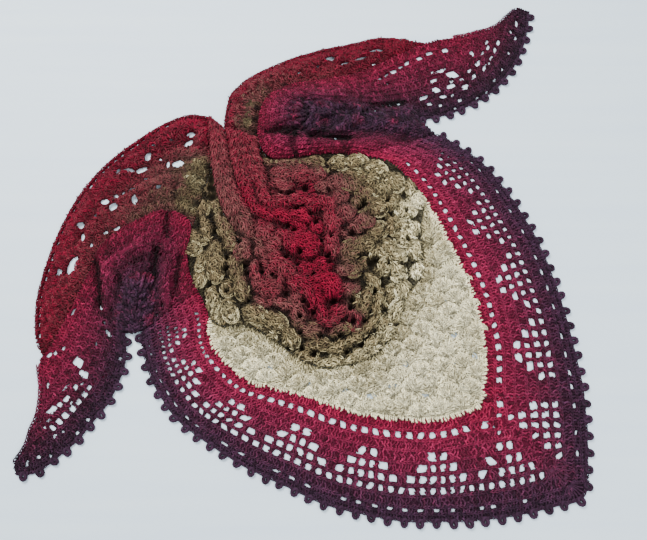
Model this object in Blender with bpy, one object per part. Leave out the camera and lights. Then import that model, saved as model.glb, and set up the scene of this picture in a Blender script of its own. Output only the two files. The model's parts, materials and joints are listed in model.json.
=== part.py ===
"""A crochet shawl scarf, lying on a table with its neck edge gathered into the middle.

The real thing is one sheet: a triangle of fan stitch in a yarn that shades from red at the neck
edge through brown and khaki to cream at the point, and round its two long sides a deep lace border
with solid and open triangles, which ends in three close rows and a row of picots. The scarf lies
with its point towards the lower right. The neck edge is pinched into a heap of puffed fans in the
middle, and both wings turn back up from it, so the border makes a narrow turn on each side.

All sizes are in millimetres, seen from above with +X to the right and +Y away from the viewer. The
origin lies on the table under the middle of the outline.
"""

import math

import bpy
import numpy as np
from mathutils.geometry import delaunay_2d_cdt

MM = 0.001

# Driving sizes
CLOTH = 2.6  # a row of crochet, yarn over yarn
SEAM_GAP = 0.34  # kept between two pieces where one yarn or row ends and the next begins
EDGING_FROM = 0.78  # share of the border's width at which its last, close rows begin
PICOT_PITCH = 17.4
PICOT_WIDTH = 8.4
PICOT_REACH = 7.4
CELLS_PER_MOTIF = 7  # open squares of the last mesh row to one triangle
FAN_WIDTH = 25.0
FAN_ROW = 15.0
FAN_RISE = 2.0
FAN_LEAN = math.radians(12)  # how far the fan rows run up to the right
MIDDLE_X = 4.145  # brings the outline's middle over the origin
MIDDLE_Y = 1.295

# The border is counted in cells of its last mesh row, from the left tip over the left turn and
# along the front to the corner, then up the right side and round the right turn to the right tip.
# "seam" is where the border meets the body, or the neck edge where it is all border. "edge" is the
# foot of the picots. "kept" is the share of the border's rows that is there, the rest having ended
# at the neck edge. "rise" is how high the gathered border stands over its own thickness.
STATION = ("cell", "seam_x", "seam_y", "edge_x", "edge_y", "kept", "rise")
LEFT_HALF = (
    (-89.5, -318, -257, -315, -269, 0.14, 0),
    (-87.5, -308, -240, -293, -267, 0.33, 0),
    (-85.3, -304, -223, -273, -252, 0.45, 0),
    (-82.9, -298, -203, -252, -234, 0.58, 0),
    (-80.6, -298, -176, -235, -212, 0.78, 0),
    (-78.5, -303, -145, -220, -192, 1, 0),
    (-76.7, -292, -128, -211, -170, 1, 1),
    (-74.9, -284, -111, -205, -149, 1, 2),
    (-72, -267, -71, -207, -114, 1, 5),
    (-69, -255, -41, -206, -94, 1, 8),
    (-66, -249, -18, -204, -79, 1, 10),
    (-63, -236, 0, -201, -68, 1, 11),
    (-60, -216, 16, -197, -64, 1, 12),
    (-57, -194, 28, -193, -63, 1, 12),
    (-54, -172, 37, -190, -64, 1, 12),
    (-51, -150, 32, -186, -70, 1, 11),
    (-48, -136, 14, -183, -79, 1, 9),
    (-46, -140, -9, -183, -89, 1, 8),
    (-44, -137, -36, -185, -100, 1, 6),
    (-41, -124, -64, -187, -111, 1, 4),
    (-38, -113, -84, -188, -119, 1, 2),
    (-35, -109, -102, -186, -128, 1, 0),
    (-31.5, -106, -123, -179, -149, 1, 0),
    (-28, -97, -136, -166, -176, 1, 0),
    (-24.5, -76, -157, -140, -210, 1, 0),
    (-21, -55, -170, -108, -233, 1, 0),
    (-17.5, -23, -177, -63, -260, 1, 0),
    (-14, 8, -186, -18, -280, 1, 0),
    (-10.5, 43, -198, 25, -299, 1, 0),
    (-7, 78, -206, 66, -309, 1, 0),
    (-3.5, 115, -210, 107, -316, 1, 0),
    (0, 153, -210, 148, -317, 1, 0),
    (4, 196, -199, 190, -316, 1, 0),
    (8, 242, -193, 235, -310, 1, 0),
    (12, 286, -178, 279, -301, 1, 0),
)
RIGHT_HALF = (
    (12, 205, -271, 316, -267, 1, 0),
    (16, 206, -224, 318, -223, 1, 0),
    (19.5, 205, -185, 319, -184, 1, 0),
    (24, 210, -137, 313, -129, 1, 0),
    (27.5, 207, -101, 305, -81, 1, 0),
    (31, 200, -67, 294, -36, 1, 0),
    (34.5, 187, -30, 281, 3, 1, 0),
    (38, 172, 4, 264, 38, 1, 0),
    (41.5, 156, 38, 247, 68, 1, 0),
    (45, 139, 69, 224, 99, 1, 0),
    (48.5, 111, 100, 198, 120, 1, 1),
    (52, 76, 111, 167, 139, 1, 2),
    (55.5, 42, 114, 121, 149, 1, 5),
    (59, 13, 112, 70, 152, 1, 8),
    (62, -11, 107, 34, 153, 1, 12),
    (65, -35, 104, 11, 153, 1, 14),
    (68, -51, 114, 2, 155, 1, 16),
    (71, -58, 132, -2, 159, 1, 16),
    (74, -58, 154, -3, 165, 1, 16),
    (77, -54, 177, -1, 171, 1, 15),
    (80, -42, 196, 6, 175, 1, 13),
    (83, -19, 208, 20, 174, 1, 11),
    (86.5, 22, 216, 60, 169, 1, 8),
    (90, 66, 226, 102, 164, 1, 5),
    (94, 113, 249, 145, 161, 1, 2),
    (97, 141, 264, 171, 165, 1, 0),
    (100, 171, 276, 197, 174, 1, 0),
    (103, 195, 281, 224, 188, 1, 0),
    (105.5, 213, 284, 247, 205, 0.9, 0),
    (107.5, 229, 289, 265, 226, 0.78, 0),
    (109.5, 244, 293, 279, 248, 0.61, 0),
    (111.5, 259, 302, 290, 275, 0.45, 0),
    (113.5, 272, 315, 297, 301, 0.3, 0),
    (115, 287, 327, 300, 321, 0.16, 0),
)
# At the corner the two straight sides run into each other on the line of cell 12.
CORNER = (
    (4, 196, -199, 190, -316, 1, 0),
    (8, 200, -196, 236, -310, 1, 0),
    (10.5, 202, -193, 277, -301, 1, 0),
    (12, 203, -190, 307, -293, 1, 0),
    (13.5, 204, -189, 313, -269, 1, 0),
    (16, 205, -187, 318, -229, 1, 0),
    (19.5, 205, -185, 319, -184, 1, 0),
)
# Cells at which one stretch ends and the next begins, from the left tip to the right one
LEFT_TIP = -89.5
LEFT_WING_BODY_TIP = -78
LEFT_TURN_FROM = -72
LEFT_WING_BODY_END = -48
LEFT_TURN_TO = -41
DIVIDE_LEFT = -36
FRONT_FROM = -21
CORNER_FROM = 4
CORNER_CELL = 12
CORNER_TO = 19.5
DIVIDE_RIGHT = 43
RIGHT_TO = 48
RIGHT_BUNCH_FROM = 52
RIGHT_TURN_FROM = 62
RIGHT_WING_BODY_END = 71
RIGHT_TURN_TO = 83
RIGHT_BUNCH_TO = 94
RIGHT_WING_BODY_TIP = 97
RIGHT_TIP = 115
TIP_CELLS = 2.6  # from a tip, how far the border is all close rows
CORNER_MARGIN = 2.5  # crochet left between the corner's middle line and its open squares

# Open squares of each mesh row, as shares of the border's width and, on each side of a motif's
# middle line, cells off that line and half a square's width in cells.
MESH_ROWS = (
    (0.125, 0.205, ((0.58, 0.36), (1.75, 0.36), (2.92, 0.36))),
    (0.33, 0.43, ((0.62, 0.44),)),
    (0.45, 0.54, ((0.48, 0.32), (1.6, 0.5))),
    (0.565, 0.65, ((0.5, 0.32), (1.48, 0.34), (2.62, 0.44))),
    (0.68, 0.755, ((0.5, 0.31), (1.5, 0.31), (2.5, 0.31), (3.5, 0.31))),
)
# Middle lines of the open triangles, by cell.
MOTIFS_LEFT = (-77.5, -35, -28, -21, -14, -7, 0)
MOTIFS_RIGHT = (24, 31, 38, 45, 97, 104)
# The corner's open squares: first cell, last cell, low and high share, half a square's width.
CORNER_MESH_LEFT = (
    (4.5, 10.5, 0.68, 0.755, 0.31),
    (4.6, 4.6, 0.565, 0.65, 0.42),
    (6.5, 10.5, 0.565, 0.65, 0.32),
    (5.4, 5.4, 0.45, 0.54, 0.45),
    (7.2, 9.2, 0.45, 0.54, 0.32),
    (6.3, 8.3, 0.33, 0.42, 0.34),
    (3.9, 5.9, 0.125, 0.205, 0.36),
)
CORNER_MESH_RIGHT = (
    (13.6, 19.6, 0.68, 0.755, 0.31),
    (14.6, 18.6, 0.565, 0.65, 0.34),
    (15.6, 17.6, 0.45, 0.54, 0.32),
    (18.5, 18.5, 0.45, 0.54, 0.42),
    (16.6, 17.6, 0.33, 0.42, 0.34),
    (17.7, 18.7, 0.125, 0.205, 0.36),
)

# Neck edge of each wing, from the body's tip to the notch between the wings.
NECK_LEFT = (
    (-311, -117), (-314, -91), (-314, -65), (-309, -35), (-302, -4), (-291, 28), (-274, 64),
    (-247, 100), (-211, 132), (-172, 158), (-147, 167), (-122, 164),
)
NECK_RIGHT = (
    (128, 278), (99, 280), (62, 271), (22, 262), (-17, 249), (-51, 233), (-76, 217), (-94, 198),
    (-101, 172), (-102, 147),
)
# The neck edge then runs down between two gathered strands, side by side as far as the heap.
CREASE = ((-102, 147), (-96, 125), (-92, 103), (-87, 82), (-79, 61), (-67, 40))
LEFT_STRAND_TAIL = ((-67, 40), (-61, 21), (-58, 1), (-58, -28))
LEFT_STRAND_OUTER = ((-122, 164), (-120, 130), (-116, 98), (-109, 65), (-99, 35), (-81, 4), (-72, -30))
LEFT_STRAND_CLEAR = 2  # its third point, from which it runs free of the wing
RIGHT_STRAND_TAIL = ((-67, 40), (-52, 30), (-35, 20))
RIGHT_STRAND_OUTER = ((-58, 132), (-55, 110), (-48, 89), (-40, 68), (-30, 52), (-16, 38))
# Where the heap of gathered fans ends and the flat fans begin, left to right.
DIVIDE = (
    (-94, -105), (-67, -104), (-38, -118), (-15, -135), (14, -151), (49, -151), (80, -140),
    (101, -119), (116, -89), (123, -65), (138, -50), (144, -20), (142, 12), (146, 35),
)

# Folds: the two ends of the ridge, its half width and its height. A groove has a height below 0.
FOLD_STARTS = 0.4  # below this height the cloth of a wing still rests on the table
FOLD = ("x0", "y0", "x1", "y1", "half_width", "height")
TURN_FOLDS = (
    (-247, -29, -238, -80, 6, -6),
    (-234, -32, -229, -75, 6, 3),
    (-221, -35, -215, -56, 5, -4),
    (-233, -23, -207, -7, 4, -3),
    (-200, -50, -196, -96, 11, 4),
    (-175, -15, -178, -65, 6, -6),
    (-164, -37, -159, -75, 6, 4),
    (-148, -24, -152, -70, 5, -5),
    (-167, 38, -164, 2, 5, -5),
    (-150, 21, -152, 18, 9, 3),
    (-37, 140, -3, 142, 5, -7),
    (-32, 166, -22, 166, 14, 3),
    (-36, 118, -14, 122, 10, 2),
    (26, 152, 54, 168, 11, -11),
    (2, 160, 22, 158, 8, 2),
    (60, 176, 80, 158, 10, 3),
    (-6, 121, 108, 124, 8, 3),
    (10, 138, 56, 138, 4, -3),
)
WING_FOLDS = (
    (-296, -72, -291, -22, 11, 3.5),
    (-283, 8, -262, 50, 12, 5.0),
    (-246, 74, -206, 108, 13, 5.5),
    (-190, 124, -152, 148, 13, 6.0),
    (-262, 22, -232, 50, 9, 4.0),
    (-208, 62, -166, 76, 13, 8.0),
    (-146, 66, -134, 98, 12, 11.0),
    (-138, 112, -128, 142, 10, 6.5),
    (-86, 190, -90, 156, 10, 9.0),
    (-70, 206, -30, 226, 11, 7.5),
    (-10, 234, 40, 248, 11, 5.5),
    (56, 240, 94, 260, 10, 4.0),
    (-68, 176, -68, 150, 7, 5.0),
)
# Big uneven openings of the wings' fan rows: middle, length, width and the way they point, degrees.
OPENING = ("x", "y", "length", "width", "turn")
WING_OPENINGS = (
    (-144, 140, 10, 5, -5), (-147, 129, 11, 6, 25), (-159, 100, 15, 8, 5), (-220, 91, 11, 5, 5),
    (-203, 92, 14, 5, 25), (-195, 110, 12, 5, 65), (-246, 50, 9, 6, 5), (-236, 43, 12, 6, 45),
    (-213, 66, 10, 5, 0), (-211, 52, 8, 8, 0), (-272, 20, 10, 5, 50), (-278, -30, 18, 6, 60),
    (-291, -39, 9, 5, 80), (-273, -87, 9, 6, 70), (-232, 90, 9, 5, 85), (33, 250, 11, 5, 5),
    (90, 259, 14, 5, 25), (68, 245, 12, 4, 5),
)

# The heap's ridges are rows of puffed fans. Each has its shade, its width, the height of a puff
# over the heap, how many puffs it has, and the line that it follows.
RIDGE = ("shade", "width", "crest", "puffs", "line")
RIDGES = (
    ("khaki", 21, 9, 5, ((-124, 22), (-128, -11), (-127, -37), (-117, -63), (-112, -82))),
    ("khaki", 18, 9, 5, ((-107, -5), (-104, -32), (-102, -58), (-100, -84))),
    ("brown", 18, 9, 4, ((-95, 25), (-87, -2), (-76, -27), (-66, -60))),
    ("brown", 20, 8, 5, ((-38, 84), (-17, 75), (5, 80), (25, 74), (39, 63))),
    ("khaki", 12, 6, 4, ((-40, 97), (-11, 97), (22, 98))),
    ("khaki", 18, 8, 5, ((42, 98), (69, 91), (95, 74), (112, 53))),
    ("red", 17, 9, 7, ((-24, 46), (-4, 46), (20, 47), (38, 29), (40, 0), (29, -25))),
    ("red", 16, 7, 3, ((-20, 21), (-4, 24), (13, 18))),
    ("red", 32, 11, 1, ((-4, -8), (8, -16))),
    ("red", 38, 13, 1, ((6, -60), (36, -60))),
    ("red", 21, 9, 2, ((-46, 14), (-41, -9))),
    ("red", 19, 9, 2, ((-34, -32), (-17, -39))),
    ("red", 22, 9, 3, ((-53, -37), (-48, -60), (-30, -68))),
    ("red", 15, 8, 4, ((-8, -62), (4, -82), (20, -99), (42, -104))),
    ("brown", 21, 8, 1, ((28, -82), (44, -92))),
    ("brown", 15, 7, 3, ((-42, -76), (-20, -86), (-4, -98))),
    ("brown", 18, 8, 1, ((45, 76), (49, 54))),
    ("brown", 21, 8, 3, ((51, 38), (58, 12), (76, 20))),
    ("khaki", 18, 8, 2, ((61, 64), (77, 50))),
    ("khaki", 26, 9, 3, ((92, 48), (102, 30), (96, 8))),
    ("brown", 24, 9, 1, ((48, -8), (58, -34))),
    ("khaki", 16, 8, 3, ((110, 13), (91, -2), (74, -18))),
    ("khaki", 20, 8, 1, ((63, -38), (74, -56))),
    ("khaki", 20, 8, 3, ((114, -10), (101, -28), (88, -55))),
    ("cream", 20, 8, 4, ((110, -63), (101, -86), (92, -112), (80, -133))),
    ("khaki", 13, 7, 7, ((59, -64), (67, -84), (61, -107), (43, -126), (18, -131), (-4, -121))),
    ("khaki", 15, 7, 8, ((82, -76), (82, -107), (63, -130), (36, -144), (6, -143), (-20, -130))),
    ("khaki", 17, 7, 5, ((-88, -70), (-66, -86), (-38, -99), (-12, -112))),
    ("cream", 22, 7, 5, ((134, 50), (125, 28), (122, 4), (121, -22), (126, -46))),
)
HEAP_MIDDLE = (0.0, -20.0)
HEAP_HALF_X = 140.0
HEAP_HALF_Y = 135.0
HEAP_RISE = 13.0
STRAND_EDGE = 7.0
STRAND_CREST = 15.0

YARNS = {
    "crimson": ((0.22, 0.012, 0.045, 1), 0.9),
    "plum": ((0.045, 0.012, 0.03, 1), 0.9),
    "red": ((0.33, 0.015, 0.05, 1), 0.9),
    "khaki": ((0.27, 0.22, 0.14, 1), 0.92),
    "cream": ((0.62, 0.56, 0.44, 1), 0.92),
}


def yarn(name):
    """The matt, slightly hairy finish of one shade of the yarn."""
    colour, roughness = YARNS[name]
    material = bpy.data.materials.get(name) or bpy.data.materials.new(name)
    material.use_nodes = True
    shader = material.node_tree.nodes["Principled BSDF"]
    shader.inputs["Base Color"].default_value = colour
    shader.inputs["Roughness"].default_value = roughness
    shader.inputs["Metallic"].default_value = 0.0
    return material


class Smooth:
    """A table whose columns run smoothly from row to row over its first column."""

    def __init__(self, rows):
        table = np.array(rows, float)
        self.at_rows = table[:, 0]
        self.values = table[:, 1:]
        self.slopes = np.gradient(self.values, self.at_rows, axis=0)

    def __call__(self, where):
        row = int(np.clip(np.searchsorted(self.at_rows, where) - 1, 0, len(self.at_rows) - 2))
        step = self.at_rows[row + 1] - self.at_rows[row]
        f = (where - self.at_rows[row]) / step
        start, end = self.values[row], self.values[row + 1]
        leave, arrive = self.slopes[row] * step, self.slopes[row + 1] * step
        lift = f * f * (3 - 2 * f)
        return start + (end - start) * lift + leave * f * (1 - f) ** 2 - arrive * f * f * (1 - f)


def smooth_line(points, spacing):
    """A smooth line through a few points, given back as points about one spacing apart."""
    points = np.array(points, float)
    along = np.concatenate([[0], np.cumsum(np.linalg.norm(np.diff(points, axis=0), axis=1))])
    line = Smooth(np.column_stack([along, points]))
    count = max(2, int(round(along[-1] / spacing)) + 1)
    return [tuple(line(s)) for s in np.linspace(0, along[-1], count)]


def fold_height(folds, x, y):
    """How far the ridges of a table of folds lift the cloth here, and its grooves sink it."""
    lift, sink = 0.0, 0.0
    for x0, y0, x1, y1, half_width, height in folds:
        length = math.hypot(x1 - x0, y1 - y0)
        way_x, way_y = (x1 - x0) / length, (y1 - y0) / length
        along = (x - x0) * way_x + (y - y0) * way_y
        beyond = max(0.0, -along, along - length)
        across = (y - y0) * way_x - (x - x0) * way_y
        off = math.hypot(across, beyond) / half_width
        bump = height * math.exp(-1.3 * off * off)
        lift, sink = max(lift, bump), min(sink, bump)
    return lift + sink


class Lace:
    """One half of the border: it turns a cell number and a share of the width into a place."""

    def __init__(self, stations):
        self.table = Smooth(stations)
        self.cells = np.arange(stations[0][0], stations[-1][0], 0.5)
        self.shares = np.linspace(0, 1, 15)
        places = [[self.place(cell, share) for share in self.shares] for cell in self.cells]
        self.places = np.array(places)

    def seam(self, cell):
        seam_x, seam_y = self.table(cell)[:2]
        return seam_x, seam_y

    def place(self, cell, share):
        seam_x, seam_y, edge_x, edge_y, kept, _ = self.table(cell)
        inward = (1 - share) / kept
        return edge_x + (seam_x - edge_x) * inward, edge_y + (seam_y - edge_y) * inward

    def height(self, x, y):
        """How high the lace's top lies: flat, or arched and pleated where it is gathered."""
        off = np.hypot(self.places[..., 0] - x, self.places[..., 1] - y)
        row, column = np.unravel_index(np.argmin(off), off.shape)
        cell, share = self.cells[row], self.shares[column]
        rise = self.table(cell)[5]
        arch = 0.55 + 0.45 * math.sin(math.pi * share)
        pleat = 0.14 * share * math.cos(2 * math.pi * cell / 3)
        gathered = max(0.0, rise) * (arch + pleat)
        return CLOTH + max(0.0, gathered + fold_height(TURN_FOLDS, x, y))


left = Lace(LEFT_HALF)
right = Lace(RIGHT_HALF)
corner = Lace(CORNER)


def steps(first, last):
    """The cells at which an outline has its points: both ends, and each whole cell between."""
    low, high = min(first, last), max(first, last)
    between = [cell for cell in range(math.floor(low) + 1, math.ceil(high))]
    cells = [low, *between, high]
    return cells if first < last else cells[::-1]


def seam_line(lace, first, last):
    return [lace.seam(cell) for cell in steps(first, last)]


def row_line(lace, first, last, share):
    return [lace.place(cell, share) for cell in steps(first, last)]


def area(loop):
    x, y = np.array(loop, float).T
    return 0.5 * float(np.dot(x, np.roll(y, -1)) - np.dot(y, np.roll(x, -1)))


def tidy_loop(loop):
    """The loop counter-clockwise, with no two neighbours in one place."""
    kept = []
    for point in loop:
        if not kept or math.dist(point, kept[-1]) > 0.4:
            kept.append((float(point[0]), float(point[1])))
    if math.dist(kept[0], kept[-1]) < 0.4:
        kept.pop()
    return kept if area(kept) > 0 else kept[::-1]


def drawn_in(loop, by):
    """The loop moved inwards, so that two pieces with one seam line stay apart."""
    points = np.array(loop)
    before = points - np.roll(points, 1, axis=0)
    after = np.roll(points, -1, axis=0) - points
    before /= np.linalg.norm(before, axis=1)[:, None]
    after /= np.linalg.norm(after, axis=1)[:, None]
    normals = [np.column_stack([-way[:, 1], way[:, 0]]) for way in (before, after)]
    middle = normals[0] + normals[1]
    middle /= np.maximum(np.linalg.norm(middle, axis=1)[:, None], 1e-6)
    spread = np.maximum(np.sum(middle * normals[0], axis=1), 0.35)[:, None]
    return [tuple(point) for point in points + middle * by / spread]


def distance_to(loop, x, y):
    """How far a point lies from a closed line."""
    start = np.array(loop)
    way = np.roll(start, -1, axis=0) - start
    to = np.array([x, y]) - start
    f = np.clip(np.sum(to * way, axis=1) / np.maximum(np.sum(way * way, axis=1), 1e-9), 0, 1)
    return float(np.min(np.linalg.norm(to - way * f[:, None], axis=1)))


def inside(loop, x, y):
    found = False
    for (ax, ay), (bx, by) in zip(loop, loop[1:] + loop[:1]):
        if (ay > y) != (by > y) and x < (bx - ax) * (y - ay) / (by - ay) + ax:
            found = not found
    return found


def filling(loop, across, up, margin, lean=0.0):
    """Points in staggered rows inside a loop, to carry its folds. One of them lies at the origin."""
    reach = float(np.abs(np.array(loop)).max()) * 1.5
    points = []
    for row in range(-int(reach / up), int(reach / up) + 1):
        for column in range(-int(reach / across), int(reach / across) + 1):
            u = (column + 0.5 * (row % 2)) * across
            w = row * up
            x = u * math.cos(lean) - w * math.sin(lean)
            y = u * math.sin(lean) + w * math.cos(lean)
            if inside(loop, x, y) and distance_to(loop, x, y) > margin:
                points.append((x, y))
    return points


def triangles_in(loop, holes, points):
    """Triangles over a loop less its holes. Vertices keep the order loop, holes, points."""
    corners = list(loop)
    edges = []
    for ring in [loop, *holes]:
        first = 0 if ring is loop else len(corners)
        if ring is not loop:
            corners.extend(ring)
        edges.extend((first + i, first + (i + 1) % len(ring)) for i in range(len(ring)))
    corners.extend(points)
    made = delaunay_2d_cdt(corners, edges, [], 0, 1e-6)
    places, faces, came_from = made[0], made[2], made[3]
    if len(places) != len(corners):
        raise ValueError(f"an outline crosses itself: {len(corners)} points became {len(places)}")
    triangles = []
    for face in faces:
        a, b, c = (came_from[i][0] for i in face)
        x = sum(corners[i][0] for i in (a, b, c)) / 3
        y = sum(corners[i][1] for i in (a, b, c)) / 3
        if not inside(loop, x, y) or any(inside(hole, x, y) for hole in holes):
            continue
        turn = area([corners[a], corners[b], corners[c]])
        triangles.append((a, b, c) if turn > 0 else (a, c, b))
    return corners, triangles


def crochet(name, shade, outline, height, holes=(), points=(), underside=None):
    """One closed piece: a top over the outline, an underside, and walls round it and its holes.

    The underside lies flat on the table, or follows a function where the cloth is lifted in folds.
    """
    loop = drawn_in(tidy_loop(outline), SEAM_GAP / 2)
    holes = [tidy_loop(hole) for hole in holes]
    corners, top = triangles_in(loop, holes, points)
    rims = len(loop) + sum(len(hole) for hole in holes)
    if underside is None:
        lower_corners, lower = triangles_in(loop, holes, [])
        lows = [0.0] * rims
    else:
        lower_corners, lower = corners, top
        lows = [max(0.0, underside(x, y)) for x, y in corners]
    highs = [height(x, y) for x, y in corners]
    vertices = [(x, y, z) for (x, y), z in zip(corners, highs)]
    vertices += [(x, y, z) for (x, y), z in zip(lower_corners, lows)]
    under = len(corners)
    faces = list(top) + [(under + a, under + c, under + b) for a, b, c in lower]
    first = 0
    for ring in [loop, *holes]:
        for i in range(len(ring)):
            a, b = first + i, first + (i + 1) % len(ring)
            wall = (under + a, under + b, b, a)
            faces.append(wall if ring is loop else wall[::-1])
        first += len(ring)
    shifted = [((x - MIDDLE_X) * MM, (y - MIDDLE_Y) * MM, z * MM) for x, y, z in vertices]
    mesh = bpy.data.meshes.new(name)
    mesh.from_pydata(shifted, [], faces)
    mesh.materials.append(yarn(shade))
    mesh.update()
    piece = bpy.data.objects.new(name, mesh)
    bpy.context.scene.collection.objects.link(piece)
    return piece


def square(lace, cell, half, low, high):
    """One open square of the mesh, as its four corners."""
    sides = ((cell - half, low), (cell + half, low), (cell + half, high), (cell - half, high))
    return [lace.place(c, share) for c, share in sides]


def clear_holes(holes, outline, margin=2.0):
    """The holes that lie wholly inside an outline, with a margin of crochet round them."""
    return [
        hole
        for hole in holes
        if all(inside(outline, x, y) and distance_to(outline, x, y) > margin for x, y in hole)
    ]


def motif_holes(lace, motifs):
    """The open squares of each motif in a list of middle lines."""
    holes = []
    for middle in motifs:
        for low, high, squares in MESH_ROWS:
            for off, half in squares:
                for side in (-1, 1):
                    on_next = side < 0 and off > CELLS_PER_MOTIF / 2 - 0.2
                    if not on_next:
                        holes.append(square(lace, middle + side * off, half, low, high))
    return holes


def corner_holes():
    """The open squares of the corner, each side's kept on its own side of the corner line."""
    inner, outer = corner.place(CORNER_CELL, 0), corner.place(CORNER_CELL, 1)
    holes = []
    for lace, rows, side in ((left, CORNER_MESH_LEFT, -1), (right, CORNER_MESH_RIGHT, 1)):
        for first, last, low, high, half in rows:
            for i in range(int(round(last - first)) + 1):
                hole = square(lace, first + i, half, low, high)
                off = [side * area([inner, outer, point]) for point in hole]
                if min(off) > 0.5 * CORNER_MARGIN * math.dist(inner, outer):
                    holes.append(hole)
    return holes


def lace_piece(name, lace, first, last, motifs, spacing=0.0):
    """A stretch of the border's lace, from the seam to where the close rows begin."""
    outline = seam_line(lace, first, last) + row_line(lace, last, first, EDGING_FROM)
    loop = tidy_loop(outline)
    holes = clear_holes(motif_holes(lace, motifs), loop)
    points = filling(loop, spacing, spacing * 0.87, spacing * 0.45) if spacing else []
    points = [p for p in points if not any(inside(hole, *p) for hole in holes)]
    return crochet(name, "crimson", outline, lace.height, holes, points)


def picot_edge(line):
    """The outer edge with its picots: small knobs at an even pitch along a line of places."""
    line = np.array(line)
    along = np.concatenate([[0], np.cumsum(np.linalg.norm(np.diff(line, axis=0), axis=1))])
    count = max(1, int(round(along[-1] / PICOT_PITCH)))
    half = PICOT_WIDTH / 2
    knob = ((-half, 0.6), (-0.8 * half, 0.7 * PICOT_REACH), (0, PICOT_REACH),
            (0.8 * half, 0.7 * PICOT_REACH), (half, 0.6))
    edge = [tuple(line[0])]
    for i in range(count):
        s = (i + 0.5) * along[-1] / count
        foot = np.array([np.interp(s, along, line[:, k]) for k in (0, 1)])
        ahead = np.array([np.interp(s + half, along, line[:, k]) for k in (0, 1)])
        behind = np.array([np.interp(s - half, along, line[:, k]) for k in (0, 1)])
        way = (ahead - behind) / np.linalg.norm(ahead - behind)
        out = np.array([way[1], -way[0]])
        edge.extend(tuple(foot + way * u + out * v) for u, v in knob)
    edge.append(tuple(line[-1]))
    return edge


def edging_piece(name, lace, first, last, inner=None):
    """A stretch of the close plum rows with its picots. The edge runs with the body on its left."""
    edge = picot_edge([lace.place(cell, 1) for cell in np.arange(first, last + 0.01, 0.5)])
    back = inner or row_line(lace, last, first, EDGING_FROM)
    return crochet(name, "plum", edge + back, lace.height)


def turn_edging(name, lace, first, last):
    """The edging bunched inside a turn: its layers lie on each other, so they are one mound."""
    feet = [lace.place(last, 1), lace.place(first, 1)]
    outline = tidy_loop(row_line(lace, first, last, EDGING_FROM) + feet)

    def height(x, y):
        return lace.height(x, y) + 3.0 * (1 - math.exp(-distance_to(outline, x, y) / 7))

    return crochet(name, "plum", outline, height, points=filling(outline, 9, 8, 3.5))


def oval(x, y, length, width, turn):
    """An uneven opening as six points."""
    lean = math.radians(turn)
    ring = []
    for i in range(6):
        angle = 2 * math.pi * i / 6
        u = 0.5 * length * math.cos(angle)
        v = 0.58 * width * math.sin(angle)
        along = u * math.cos(lean) - v * math.sin(lean)
        across = u * math.sin(lean) + v * math.cos(lean)
        ring.append((x + along, y + across))
    return ring


def wing_body(name, outline):
    """The body yarn's part of a wing: one layer of cloth that lifts in soft folds."""
    loop = tidy_loop(outline)
    holes = clear_holes([oval(*row) for row in WING_OPENINGS], loop)
    points = [p for p in filling(loop, 12.5, 11, 4.5) if all(distance_to(h, *p) > 4 for h in holes)]
    points = [p for p in points if not any(inside(hole, *p) for hole in holes)]

    def lift(x, y):
        return fold_height(WING_FOLDS, x, y) - FOLD_STARTS

    return crochet(name, "red", outline, lambda x, y: CLOTH + max(0.0, lift(x, y)), holes, points, lift)


def strand(name, outline):
    """A gathered strand of the neck edge, round on top."""
    loop = tidy_loop(outline)

    def height(x, y):
        off = min(1.0, distance_to(loop, x, y) / 14)
        return CLOTH + STRAND_EDGE + (STRAND_CREST - STRAND_EDGE) * math.sqrt(1 - (1 - off) ** 2)

    return crochet(name, "red", outline, height, points=filling(loop, 8, 7, 3))


def puffs():
    """Every puffed fan of the heap: middle, direction, half length, half width and crest."""
    found = []
    for _, width, crest, count, line in RIDGES:
        points = np.array(smooth_line(line, 2.0))
        along = np.concatenate([[0], np.cumsum(np.linalg.norm(np.diff(points, axis=0), axis=1))])
        pitch = along[-1] / count
        for i in range(count):
            s = (i + 0.5) * pitch
            middle = np.array([np.interp(s, along, points[:, k]) for k in (0, 1)])
            ahead = np.array([np.interp(s + 3, along, points[:, k]) for k in (0, 1)])
            behind = np.array([np.interp(s - 3, along, points[:, k]) for k in (0, 1)])
            way = (ahead - behind) / np.linalg.norm(ahead - behind)
            found.append((*middle, *way, max(0.56 * pitch, 0.45 * width), width / 2, crest))
    return np.array(found)


PUFFS = puffs()


def heap_height(x, y):
    """The heap's top: a low mound, with the fans puffed up on it."""
    off = math.hypot((x - HEAP_MIDDLE[0]) / HEAP_HALF_X, (y - HEAP_MIDDLE[1]) / HEAP_HALF_Y)
    mound = HEAP_RISE * max(0.0, 1 - off**2)
    to_x, to_y = x - PUFFS[:, 0], y - PUFFS[:, 1]
    u = (to_x * PUFFS[:, 2] + to_y * PUFFS[:, 3]) / PUFFS[:, 4]
    v = (to_y * PUFFS[:, 2] - to_x * PUFFS[:, 3]) / PUFFS[:, 5]
    bulge = PUFFS[:, 6] * np.sqrt(np.clip(1 - u * u - v * v, 0, 1))
    return CLOTH + mound + float(bulge.max())


def heap_points(loop):
    """Points that carry the puffs: first their crowns, then rings round these, then the hollows."""
    crowns = [(x, y) for x, y, *_ in PUFFS]
    rings = []
    for x, y, way_x, way_y, half_length, half_width, _ in PUFFS:
        for i in range(6):
            u = 0.74 * half_length * math.cos(math.pi * i / 3)
            v = 0.74 * half_width * math.sin(math.pi * i / 3)
            rings.append((x + way_x * u - way_y * v, y + way_y * u + way_x * v))
    points = []
    for found, apart in ((crowns, 3.5), (rings, 3.9), (filling(loop, 4.0, 3.5, 3.0), 6.0)):
        for point in found:
            clear = all(math.dist(point, other) > apart for other in points)
            if clear and inside(loop, *point) and distance_to(loop, *point) > 2.5:
                points.append(point)
    return points


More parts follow.
